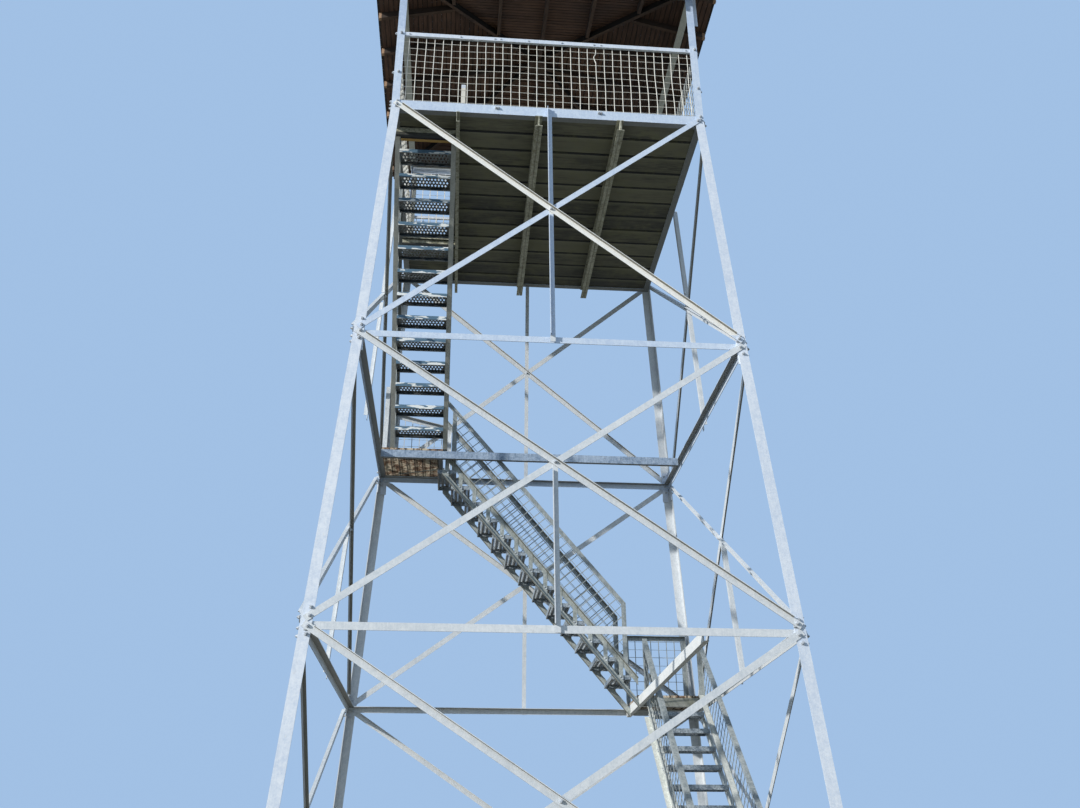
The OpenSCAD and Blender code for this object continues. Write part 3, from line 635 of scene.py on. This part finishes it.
def buildGratingGroup():
    group = Group("openGrating", dict(gratings, Length=0.8, Width=0.9))
    depth, bar, barPitch, rod, rodPitch, length, width = group.fields

    def row(size, span, pitch, axis, height=0.0):
        # Bars of one size in a row, centred, a pitch apart
        count = (span / pitch).floor()
        start, step = [0, 0, height], [0, 0, 0]
        start[axis], step[axis] = count * pitch * -0.5, pitch
        cube = group.node("GeometryNodeMeshCube", {"Size": group.point(*size)})
        return group.repeat(cube, count + 1.0, group.point(*start), group.point(*step))

    innerLength, innerWidth = length - bar, width - bar
    return group.close(group.joined([
        row((innerLength, bar, depth), width - bar * 3.0, barPitch, 1),
        row((rod, innerWidth, rod), length - rodPitch, rodPitch, 0, (depth - rod) * 0.5),
        row((bar, width, depth), innerLength, innerLength, 0),
        row((innerLength, bar, depth), innerWidth, innerWidth, 1)]))


boltGroup = buildBoltGroup()
wireGroup = buildWireGroup()
flightGroup = buildFlightGroup()
gratingGroup = buildGratingGroup()
print("node groups made")


# Stair flights: x along the fall, y to the left, z up, from the middle of the upper floor's edge

flights = {
    "upper": {"place": placeAt(90, (-1.440, -1.258, 9.1235)), "drop": 3.0815, "going": 0.180,
              "rail": (0.7955, 2.460), "railHeight": 0.810},
    "middle": {"place": placeAt(0, (-1.130, 1.500, 6.042)), "drop": 2.990, "going": 0.180,
               "rail": (0.110, 2.300), "railHeight": 0.810},
    "lower": {"place": placeAt(-90, (1.722, 1.280, 3.052)), "drop": 3.052, "going": 0.212,
              "rail": (0.060, 2.908), "railHeight": 0.720},
}
risers = 14

treadPlate = {
    "depth": 0.241, "width": 0.610, "thickness": 0.003, "edge": 0.050, "lip": 0.012,
    "rows": 4, "columns": 14, "margins": (0.008, 0.018), "hole": (0.0255, 0.0160), "tooth": 0.004,
}


def treadMesh():
    # A plank of folded plate with rows of diamond holes, staggered, whose rims stand up as teeth
    t = treadPlate
    rows, columns = t["rows"], t["columns"]
    marginX, marginY = t["margins"]
    cellX, cellY = (t["depth"] - 2 * marginX) / rows, (t["width"] - 2 * marginY) / columns
    startX, startY = marginX - t["depth"], marginY - t["width"] / 2
    endX = startX + rows * cellX
    top, bottom = 0.0, -t["thickness"]
    bm = bmesh.new()
    found = {}

    def vert(x, y, z):
        key = (round(x, 6), round(y, 6), round(z, 6))
        if key not in found:
            found[key] = bm.verts.new(key)
        return found[key]

    def both(ring):
        # One flat patch on the top and its copy below
        bm.faces.new([vert(x, y, top) for x, y in ring])
        bm.faces.new([vert(x, y, bottom) for x, y in reversed(ring)])

    def quad(x0, x1, y0, y1):
        both([(x0, y0), (x0, y1), (x1, y1), (x1, y0)])

    for row in range(rows):
        x0, x1 = startX + row * cellX, startX + (row + 1) * cellX
        xc = (x0 + x1) / 2
        odd = row % 2
        for column in range(columns - odd):
            y0 = startY + (column + odd / 2) * cellY
            y1, yc = y0 + cellY, y0 + cellY / 2
            a, b = t["hole"]
            west, north, east, south = (xc - a, yc), (xc, yc + b), (xc + a, yc), (xc, yc - b)
            ring = [(x0, y0), (x0, yc), (x0, y1), (x1, y1), (x1, yc), (x1, y0)]
            tips = [west, west, north, east, east, south]
            for k in range(6):
                n = (k + 1) % 6
                both((ring[k], tips[k], ring[n]))
                if tips[k] != tips[n]:
                    both((ring[n], tips[k], tips[n]))
            for p, q in ((west, north), (north, east), (east, south), (south, west)):
                bm.faces.new([vert(*p, top), vert(*p, bottom), vert(*q, bottom), vert(*q, top)])
        if odd:      # half a cell is left at each end
            for y0 in (startY, startY + t["width"] - 2 * marginY - cellY / 2):
                quad(x0, x1, y0, y0 + cellY / 2)
    # Plain margins, with the same points along the perforated field
    half = [startY + k * cellY / 2 for k in range(2 * columns + 1)]
    for y0, y1 in zip(half, half[1:]):
        quad(-t["depth"], startX, y0, y1)
        quad(endX, 0.0, y0, y1)
    lines = [-t["depth"]] + [startX + k * cellX for k in range(rows + 1)] + [0.0]
    for x0, x1 in zip(lines, lines[1:]):
        for end in (-1, 1):
            quad(x0, x1, end * (t["width"] / 2 - marginY), end * t["width"] / 2)
    # Teeth: the tips of each hole that point along the tread stand up
    for (x, y, z), v in found.items():
        row = (x - startX) / cellX - 0.5
        if z == top and abs(row - round(row)) < 1e-3 and startX < x < endX:
            v.co.z += t["tooth"]
    # Close the plate round its edge
    bmesh.ops.remove_doubles(bm, verts=bm.verts, dist=1e-6)
    bmesh.ops.bridge_loops(bm, edges=[e for e in bm.edges if len(e.link_faces) == 1])
    # Folded edges at the front and back, and end plates that the stringers' bars are bolted to
    edge, w, d, s = t["edge"], t["width"] / 2, t["depth"], t["thickness"]
    addBox(bm, (-d, -w, -edge), (-d + s, w, bottom))
    addBox(bm, (-s, -w, -edge), (0, w, bottom))
    for y in (-w, w - s):
        addBox(bm, (s - d, y, -edge), (-s, y + s, bottom))
    for x in (s - d, -s - t["lip"]):
        addBox(bm, (x, s - w, -edge), (x + t["lip"], w - s, s - edge))
    return toMesh("tread", bm)


for label, flight in flights.items():
    treads = grow(label + "_tread_planks", treadMesh(), flightGroup, {
        "Treads": risers - 1, "Going": flight["going"], "Rise": flight["drop"] / risers,
        "Material": upperTreadFinish if label == "upper" else treadFinish})
    treads.data.transform(flight["place"])
    mount(treads, label + "_treads", slot="tread_steel")


# Deck planks, sawn out for the hatch

def buildPlanks():
    # Each plank is its end's outline drawn out along X; the front edge below is worn round
    rng = random.Random(5)
    bm = bmesh.new()
    half, top, eased = planks["half"], tower["deckTop"], planks["eased"]
    for k in range(planks["count"]):
        front = k * planks["pitch"] + planks["gap"] / 2 - half
        back = front + planks["pitch"] - planks["gap"]
        low = top - planks["thick"] + rng.uniform(0, 0.003)
        worn = planks["worn"] * rng.uniform(0.75, 1)
        outline = [(front, top), (front, low + worn), (front + worn * 0.35, low + worn * 0.35),
                   (front + worn, low), (back - eased, low), (back, low + eased), (back, top)]
        addPrism(bm, [(-half, y, z) for y, z in outline], Vector((2 * half, 0, 0)))
    piece = fromMesh("deck_planks", bm, deckFinish)
    saw = bmesh.new()
    addBox(saw, *planks["hatch"])
    block = fromMesh("hatchBlock", saw, deckFinish)
    cut = piece.modifiers.new("hatch", "BOOLEAN")
    cut.object, cut.solver = block, "EXACT"
    settle(piece)
    bpy.data.objects.remove(block)
    return piece


mount(buildPlanks(), "platform_deck", slot="deck_timber")


# Gratings of the landings

for label in ("landing_2", "landing_1"):
    low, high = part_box(label + "_deck")
    size, middle = high - low, (low + high) / 2
    pitch = gratings["Rod Pitch"]
    firstRod = middle.x - math.floor((size.x - pitch) / pitch) * pitch / 2
    values = dict(gratings, Length=size.x, Width=size.y, Material=rustyGrating(label + "_rust", firstRod))
    piece = grow(label + "_grating", bpy.data.meshes.new(label), gratingGroup, values)
    piece.data.transform(Matrix.Translation(middle))
    mount(piece, label + "_deck", slot="rusty_grating")


# Meshes: cross wires between those that the frame has, and the whole mesh of the platform's guards

weld = {"pitch": 0.1016, "tie": 3, "wire": 0.005, "waviness": 0.0035}      # the frame has each third wire


def lineMesh(name, lines):
    vertices, edges = [], []
    for line in lines:
        edges += [(len(vertices) + k, len(vertices) + k + 1) for k in range(len(line) - 1)]
        vertices += line
    mesh = bpy.data.meshes.new(name)
    mesh.from_pydata(vertices, edges, [])
    return mesh


def addWires(name, segments, material, thickness=weld["wire"], waviness=weld["waviness"], seed=4.0):
    mount(grow(name, lineMesh(name, segments), wireGroup, {
        "Thickness": thickness, "Waviness": waviness, "Seed": seed, "Material": material}))


def betweenTies(height):
    return [k * weld["pitch"] for k in range(1, int(height / weld["pitch"]) + 1) if k % weld["tie"]]


guard = {
    "plane": 1.7885, "foot": 9.124, "top": 10.216, "from": -1.810, "to": 1.785,
    "bars": 35, "firstBar": 0.024, "barPitch": 0.1027, "bar": 0.010, "wire": 0.0062,
    "rail": 1.8205, "railEnd": 1.815, "railTop": 10.270, "web": 0.055, "flange": 0.030, "thick": 0.005,
    "parts": (24, 48),                  # straight parts of a bar and of a wire
    "steps": (0.035, 0.06),             # between the points of a bar and of a wire
    "sway": (0.009, 0.022, 0.006),      # along the side, out of its plane, up
    "dent": {"bar": 23, "z": 10.06, "by": 0.038, "reach": 0.06},
}


def swayed(x, z, seed):
    # Where a point of a mesh is, now that the mesh has been leant on for years
    rise = (z - guard["foot"]) / (guard["top"] - guard["foot"])
    free = min(1, 6 * rise * (1 - rise))
    move = [noise.noise(Vector((x * 1.2, z * 1.9, seed + 7 * k))) * size * free
            for k, size in enumerate(guard["sway"])]
    return Vector((x + move[0], move[1] - guard["plane"], z + move[2]))


def guardLines(seed, dent):
    bars, wires = [], []
    height = guard["top"] - guard["foot"]
    upright, level = guard["parts"]
    for k in range(guard["bars"]):
        x = guard["from"] + guard["firstBar"] + k * guard["barPitch"]
        bar = [swayed(x, guard["foot"] + height * n / upright, seed) for n in range(upright + 1)]
        if dent and k == dent["bar"]:
            for p in bar:
                p.x -= dent["by"] * max(0, 1 - abs(p.z - dent["z"]) / dent["reach"])
        bars.append(bar)
    for k in range(int(height / weld["pitch"]) + 1):
        z = guard["foot"] + 0.003 + k * weld["pitch"]
        x1, x2 = guard["from"] + 0.002, guard["to"] - 0.002
        wires.append([swayed(x1 + (x2 - x1) * n / level, z, seed) for n in range(level + 1)])
    return bars, wires


def wireShape(lines, thickness, step, seed):
    shape = grow("wires", lineMesh("wires", lines), wireGroup, {
        "Thickness": thickness, "Waviness": 0.002, "Step": step, "Seed": seed})
    mesh = shape.data
    bpy.data.objects.remove(shape)
    return mesh


for k, label in enumerate(("front", "right", "back", "left")):
    bars, wires = guardLines(3.0 + k, guard["dent"] if label == "front" else None)
    bm = bmesh.new()
    bm.from_mesh(wireShape(bars, guard["bar"], guard["steps"][0], k))
    bm.from_mesh(wireShape(wires, guard["wire"], guard["steps"][1], k + 9))
    outer, thick, high = guard["rail"], guard["thick"], guard["railTop"]
    low = high - guard["web"]
    addBox(bm, (-outer, -outer, low), (guard["railEnd"], thick - outer, high))
    addBox(bm, (-guard["railEnd"], thick - outer, low), (guard["to"], guard["flange"] - outer, low + thick))
    piece = fromMesh(label + "_guard", bm, guardSteel if label in ("front", "left") else guardSteelPaintedShade)
    piece.data.transform(sideTurns[k])
    mount(piece, "guard_" + label)

panelRail, panelEnd = 0.03, 0.004
panels = {   # origin, turn, length, heights at the start and end, finish
    "hatch_guard_wires_side": ((-0.999, -1.000, 9.124), 90, 1.700, 1.1465, 1.1465, guardSteel),
    "hatch_guard_wires_end": ((-1.109, 0.740, 9.124), 180, 0.610, 1.1465, 1.1465, guardSteel),
    "landing_2_guard_wires_back": ((-1.040, 1.9009, 6.0425), 180, 0.7759, 0.690, 0.880, railSteel),
    "landing_2_guard_wires_side": ((-1.9009, 1.7309, 6.0425), 270, 0.6799, 0.880, 0.880, railSteel),
    "landing_1_guard_wires": ((2.0856, 2.0856, 3.0525), 180, 0.7956, 0.880, 0.880, handrailSteel),
}
for label, (origin, turn, length, first, last, finish) in panels.items():
    place = placeAt(turn, origin)
    segments = []
    for h in betweenTies(max(first, last) - panelRail):
        start, end = panelEnd, length - panelEnd
        if h > min(first, last) - panelRail:      # the rail slopes down across this wire
            start = length * (h + panelRail - first) / (last - first)
        segments.append((place @ Vector((start, 0, h)), place @ Vector((end, 0, h))))
    addWires(label, segments, finish, seed=len(label))

handrail = {"meshLow": 0.0655, "rod": 0.006, "plane": 0.353, "angle": 0.055}
for label, flight in flights.items():
    steep = flight["drop"] / (risers * flight["going"])
    lean = math.sqrt(1 + steep * steep)
    low = handrail["meshLow"] + handrail["rod"] * lean
    inset = handrail["angle"] / 2
    start, end = flight["rail"]
    segments = []
    for h in betweenTies((flight["railHeight"] - low) / lean - inset):
        for y in (-handrail["plane"], handrail["plane"]):
            segments.append([flight["place"] @ Vector((x, y, low + h * lean - steep * x))
                             for x in (start + inset, end - inset)])
    addWires(label + "_handrail_wires", segments, handrailSteel, seed=len(label) + 0.5)

# The thin rod under the upper landing
addWires("landing_2_rod", [((-1.739, 1.837, 6.008), (-1.113, 1.590, 6.008))], stairSteel, 0.012, 0.006)


# Bolts, on the front and the same on the other sides, and those of the treads and base plates

layer = {"leg": 0.0, "rising": 0.0065, "falling": 0.0185}      # how far out of the face a head lies
frontBolts = [   # distance from the left edge (or the right, when negative), height, layer
    (0.066, 9.167, "leg"), (0.066, 9.105, "falling"), (-0.036, 9.182, "leg"), (-0.038, 9.136, "leg"),
    (-0.074, 9.112, "rising"),
    (0.070, 6.137, "leg"), (0.072, 6.060, "rising"), (0.070, 5.986, "falling"), (0.066, 5.908, "leg"),
    (-0.052, 6.094, "leg"), (-0.074, 6.060, "falling"), (-0.074, 5.968, "rising"), (-0.054, 5.890, "leg"),
    (0.070, 3.146, "leg"), (0.072, 3.072, "rising"), (0.070, 2.978, "falling"), (0.066, 2.912, "leg"),
    (-0.052, 3.110, "leg"), (-0.074, 3.072, "falling"), (-0.074, 2.976, "rising"), (-0.054, 2.902, "leg"),
    (0.072, 0.098, "rising"), (-0.072, 0.098, "falling"),
    (0.052, 10.242, "leg"), (0.052, 9.621, "leg"), (-0.030, 10.253, "leg"), (-0.030, 9.627, "leg"),
    (0.046, 11.215, "leg"), (-0.046, 11.215, "leg"),
]
edgeBolts = {"at": [(-0.624, 9.150), (-0.595, 9.150), (0.583, 9.157), (0.612, 9.157)],
             "head": 1.8185, "nut": 1.8105}
railBolts = {"at": [-1.679, -1.066, -0.655, -0.583, -0.247, 0.161, 0.553, 0.640, 1.693], "z": 10.2425}
treadBolts = {"side": 0.3155, "down": 0.030, "apart": 0.012}
anchors = {"edge": 2.450, "z": 0.016, "in": ((0.045, 0.215), (0.215, 0.045), (0.215, 0.215))}
brace = {"foot": 0.016, "drop": 0.014, "rise": 0.082, "inset": 0.072}      # where a pair's ends are
bolts = {name: [] for name in boltSizes}
forward = Vector((0, -1, 0))


def addBolt(name, place, point, facing):
    bolts[name].append((place @ Vector(point), place.to_3x3() @ facing))


for turn in sideTurns:
    for distance, z, level in frontBolts:
        half, out = halfWidth(z), faceNormal(z)
        surface = Vector((distance - half if distance > 0 else half + distance, -half, z))
        addBolt("frame_bolts", turn, surface + out * layer[level], out)
        addBolt("frame_nuts", turn, surface - out * layer["falling"], -out)
    for x, z in edgeBolts["at"]:
        addBolt("frame_bolts", turn, (x, -edgeBolts["head"], z), forward)
        addBolt("frame_nuts", turn, (x, -edgeBolts["nut"], z), -forward)
    levels = [tower["platformLevel"], tower["upperLevel"], tower["lowerLevel"], brace["foot"]]
    for high, low in zip(levels, levels[1:]):      # where the braces of a pair cross
        top, foot = high - brace["drop"], low + brace["rise"]
        wideTop, wideFoot = halfWidth(top) - brace["inset"], halfWidth(foot) - brace["inset"]
        z = foot + (top - foot) * wideFoot / (wideFoot + wideTop)
        surface, out = Vector((0, -halfWidth(z), z)), faceNormal(z)
        addBolt("frame_bolts", turn, surface + out * layer["falling"], out)
        addBolt("frame_nuts", turn, surface, -out)
    for x in railBolts["at"]:
        addBolt("small_bolts", turn, (x, -guard["rail"], railBolts["z"]), forward)
for flight in flights.values():
    for k in range(1, risers):
        for side in (-1, 1):
            x = k * flight["going"] - treadPlate["depth"] / 2
            z = -k * flight["drop"] / risers - treadBolts["down"]
            for dx in (-treadBolts["apart"], treadBolts["apart"]):
                point = (x + dx, side * treadBolts["side"], z - dx)
                addBolt("small_bolts", flight["place"], point, Vector((0, side, 0)))
for sx, sy in ((-1, -1), (-1, 1), (1, -1), (1, 1)):
    for dx, dy in anchors["in"]:
        point = (sx * (anchors["edge"] - dx), sy * (anchors["edge"] - dy), anchors["z"])
        addBolt("anchor_nuts", Matrix(), point, Vector((0, 0, 1)))
for name, sizes in boltSizes.items():
    values = dict(zip(boltLabels, sizes), Material=boltSteel)
    mount(grow(name, pointMesh(name, bolts[name]), boltGroup, values))
print("bolts made")


# Roof

roof = {
    "pitch": math.radians(14), "eaves": 2.160, "lip": 0.020,
    "boardWidth": 0.0635, "boardGap": 0.006, "board": 0.020, "boardPlay": 0.004, "hipGap": 0.002,
    "course": 0.125, "shingle": (0.085, 0.150), "narrow": 0.050, "shingleGap": 0.004, "hip": 0.004,
    "lap": 1.45, "slip": 0.006, "butt": 0.007, "tip": 0.0015,
    "capLap": 1.3, "cap": (0.075, 0.0075, 0.002, 0.005),      # width, height at its ends, thickness
}
flat = math.cos(roof["pitch"])      # a length up the slope covers this much of it seen from above
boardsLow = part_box("roof_boards")[0].z
boardRise = roof["board"] / flat


def roofPoint(x, r, lift):
    # A point over the front's boards: r from the tower's axis, lift above the boards' underside
    return Vector((x, -r, boardsLow + (roof["eaves"] - r) * math.tan(roof["pitch"]) + lift))


def buildBoards():
    rng = random.Random(11)
    bm = bmesh.new()
    gap, margin = roof["boardGap"] * flat, roof["hipGap"]
    for turn in sideTurns:
        outer = roof["eaves"]
        while outer > 0.02:
            b = max(outer - roof["boardWidth"] * flat, 0.004)
            a = outer - (gap if outer < roof["eaves"] else margin)
            drop = rng.uniform(0, roof["boardPlay"])
            joint = rng.uniform(-0.7, 0.7) * a
            spans = [(-1, joint - 0.001), (joint + 0.001, 1)] if a > 0.9 else [(-1, 1)]
            for left, right in spans:      # -1 and 1 are the hips
                x0, x1 = (margin - a, margin - b) if left == -1 else (left, left)
                x2, x3 = (b - margin, a - margin) if right == 1 else (right, right)
                if x2 > x1 and x3 > x0:
                    outline = [(x0, a), (x3, a), (x2, b), (x1, b)]
                    addPrism(bm, [turn @ roofPoint(x, r, drop) for x, r in outline],
                             Vector((0, 0, boardRise - drop)))
            outer = b if b > 0.005 else 0
    return fromMesh("roof_board_strips", bm, boardFinish)


def shingleOutline(x0, x1, a, b):
    # From a up to b, cut where it meets the hips, without points that fall together
    points = [(x0, a), (x1, a), (x1, max(b, abs(x1)))]
    points += [(hip, b) for hip in (b, -b) if x0 < hip < x1]
    points.append((x0, max(b, abs(x0))))
    return [p for last, p in zip(points[-1:] + points, points) if math.dist(last, p) > 1e-4]


def buildShingles():
    # Courses from the eaves up. Each shingle's butt stands on the course below it.
    rng = random.Random(23)
    bm = bmesh.new()
    run = roof["course"] * flat
    base = boardRise + 0.0005
    tip, rise = roof["tip"], roof["butt"] - roof["tip"]
    for turn in sideTurns:
        outer, number = roof["eaves"] + roof["lip"], 0
        while outer > 0.12:
            x = roof["hip"] - outer
            while x < outer - 0.006:
                room = outer - roof["hip"] - x
                width = min(rng.uniform(*roof["shingle"]), room)
                if room - width < roof["narrow"]:
                    width = room
                slip = rng.uniform(0, roof["slip"]) if number else 0
                a, b = outer - slip, max(outer - run * roof["lap"], 0.03)
                x0, x1 = max(x, 0.003 - a), min(x + width - roof["shingleGap"], a - 0.003)
                outline = [(px, r, tip + rise * (r - b) / (a - b))
                           for px, r in shingleOutline(x0, x1, a, b)]
                if len(outline) >= 3:
                    low, high = ([turn @ roofPoint(px, r, base + h * part) for px, r, h in outline]
                                 for part in (0.15, 1))
                    if not number:      # the first course lies on the boards
                        low[:2] = [turn @ roofPoint(px, r, base) for px, r, h in outline[:2]]
                    addShell(bm, low, high)
                x += width
            outer -= run
            number += 1
    return fromMesh("roof_shingles", bm, shingleFinish)


def buildHipCaps():
    # Pairs of narrow shingles, each pair lapped over the one below, up every hip
    bm = bmesh.new()
    base = boardRise + 0.004
    run = roof["course"] * flat
    w, butt, tip, thick = roof["cap"]
    for turn in sideTurns:
        r = roof["eaves"] + roof["lip"] - 0.002
        while r > 0.10:
            inner = max(r - run * roof["capLap"], 0.02)
            outline = [(-r, r, butt), (w - r, r, butt), (w - inner, inner, tip), (-inner, inner, tip)]
            for flip in (False, True):      # one half on the front, its mirror on the left side
                low, high = ([roofPoint(x, far, base + h + lift) for x, far, h in outline]
                             for lift in (-thick, 0))
                if flip:
                    low, high = ([Vector((p.y, p.x, p.z)) for p in points] for points in (low, high))
                addShell(bm, [turn @ p for p in low], [turn @ p for p in high])
            r -= run
    return fromMesh("hip_caps", bm, shingleFinish)


corners = ((-1, -1), (1, -1), (1, 1), (-1, 1))
plate = {"outer": 1.857, "low": 11.171, "flange": 0.089, "upright": 0.080, "thick": 0.008}


def buildPlates():
    # The angle that the rafters stand on, mitred at the corners, its lower flange pointing in
    outer, low, t = plate["outer"], plate["low"], plate["thick"]
    inner, high = outer - plate["flange"], low + plate["upright"]
    outline = [(outer, low), (outer, high), (outer - t, high), (outer - t, low + t),
               (inner, low + t), (inner, low)]
    bm = bmesh.new()
    ends = [[bm.verts.new((sx * r, sy * r, z)) for r, z in outline] for sx, sy in corners]
    for k in range(4):
        here, there = ends[k], ends[(k + 1) % 4]
        for n in range(6):
            bm.faces.new([here[n], there[n], there[(n + 1) % 6], here[(n + 1) % 6]])
    return fromMesh("roof_plate_angles", bm, roofSteel)


bracket = {"corner": (1.829, -1.790), "wide": 0.055, "deep": 0.045, "thick": 0.005,
           "low": 10.700, "long": 0.470}


def buildBracket():
    # A short angle on the front right post
    (x, y), wide, deep, t = bracket["corner"], bracket["wide"], bracket["deep"], bracket["thick"]
    outline = [(0, 0), (wide, 0), (wide, t), (t, t), (t, deep), (0, deep)]
    bm = bmesh.new()
    addPrism(bm, [(x + dx, y + dy, bracket["low"]) for dx, dy in outline], Vector((0, 0, bracket["long"])))
    return fromMesh("post_bracket", bm, frameSteel)


mount(buildPlates(), "roof_plates")
mount(buildBracket())
mount(buildBoards(), "roof_boards", slot="roof_boards")
mount(buildShingles(), "roof_covering", slot="shingles")
mount(buildHipCaps(), slot="shingles")
print("roof made")


# Camera, floor and light

cameraPlace = {"at": (-0.852205, -10.692833, 0.954897), "yaw": 4.727068, "pitch": 26.173005,
               "roll": -0.144803, "lens": 33.111}


def addCamera():
    data = bpy.data.cameras.new("camera")
    data.lens, data.sensor_width = cameraPlace["lens"], 36
    data.clip_start, data.clip_end = 0.05, 200
    camera = newPiece("camera", data)
    place = Matrix.Translation(cameraPlace["at"])
    turns = ((-cameraPlace["yaw"], "Z"), (90 + cameraPlace["pitch"], "X"), (cameraPlace["roll"], "Z"))
    for degrees, axis in turns:
        place = place @ Matrix.Rotation(math.radians(degrees), 4, axis)
    camera.matrix_world = place
    bpy.context.scene.camera = camera


lamps = {   # strength, where it comes from, colour, softness in degrees
    "sun": (3.75, (-0.78, -0.49, 0.40), (1.0, 0.965, 0.90), 1.5),
    "brightSky": (0.65, (-0.45, -0.80, 0.40), (0.72, 0.86, 1.0), 110),
}
light = {"sky": 0.23, "skyColor": (0.62, 0.80, 1.0, 1.0), "backdrop": (0.36, 0.53, 0.78, 1.0),
         "floor": (0.76, 0.79, 0.82, 1.0), "ground": (0.24, 0.23, 0.175, 1.0)}


def showTwoWays(tree, kind, lit, seen, output):
    # One shader lights the tower, and the camera and mirrors see the other
    builder = Builder(tree)
    path = builder.node("ShaderNodeLightPath")
    direct = path.outputs["Is Camera Ray"]
    for ray in ("Is Glossy Ray", "Is Transmission Ray"):
        direct = builder.node("ShaderNodeMath", {0: direct, 1: path.outputs[ray]}, operation="MAXIMUM")
    both = builder.node("ShaderNodeMixShader", {
        0: direct, 1: builder.node(kind, lit), 2: builder.node(kind, seen)})
    builder.node(output, {"Surface": both})


def addLight():
    for name, (strength, origin, color, softness) in lamps.items():
        data = bpy.data.lights.new(name, "SUN")
        data.energy, data.color, data.angle = strength, color, math.radians(softness)
        lamp = newPiece(name, data)
        lamp.rotation_euler = Vector(origin).to_track_quat("Z", "Y").to_euler()
    world = bpy.data.worlds.new("studio")
    bpy.context.scene.world = world
    showTwoWays(emptyTree(world), "ShaderNodeBackground",
                {"Color": light["skyColor"], "Strength": light["sky"]},
                {"Color": light["backdrop"], "Strength": 1.0}, "ShaderNodeOutputWorld")


def addFloor():
    size = 40
    bm = bmesh.new()
    bm.faces.new([bm.verts.new((size * sx, size * sy, 0)) for sx, sy in corners])
    material = bpy.data.materials.new("paleFloor")
    showTwoWays(emptyTree(material), "ShaderNodeBsdfDiffuse", {"Color": light["ground"]},
                {"Color": light["floor"]}, "ShaderNodeOutputMaterial")
    fromMesh("floor", bm, material)


addCamera()
addLight()
addFloor()
bpy.context.scene.view_settings.view_transform = "Standard"

print("camera, floor and light set")
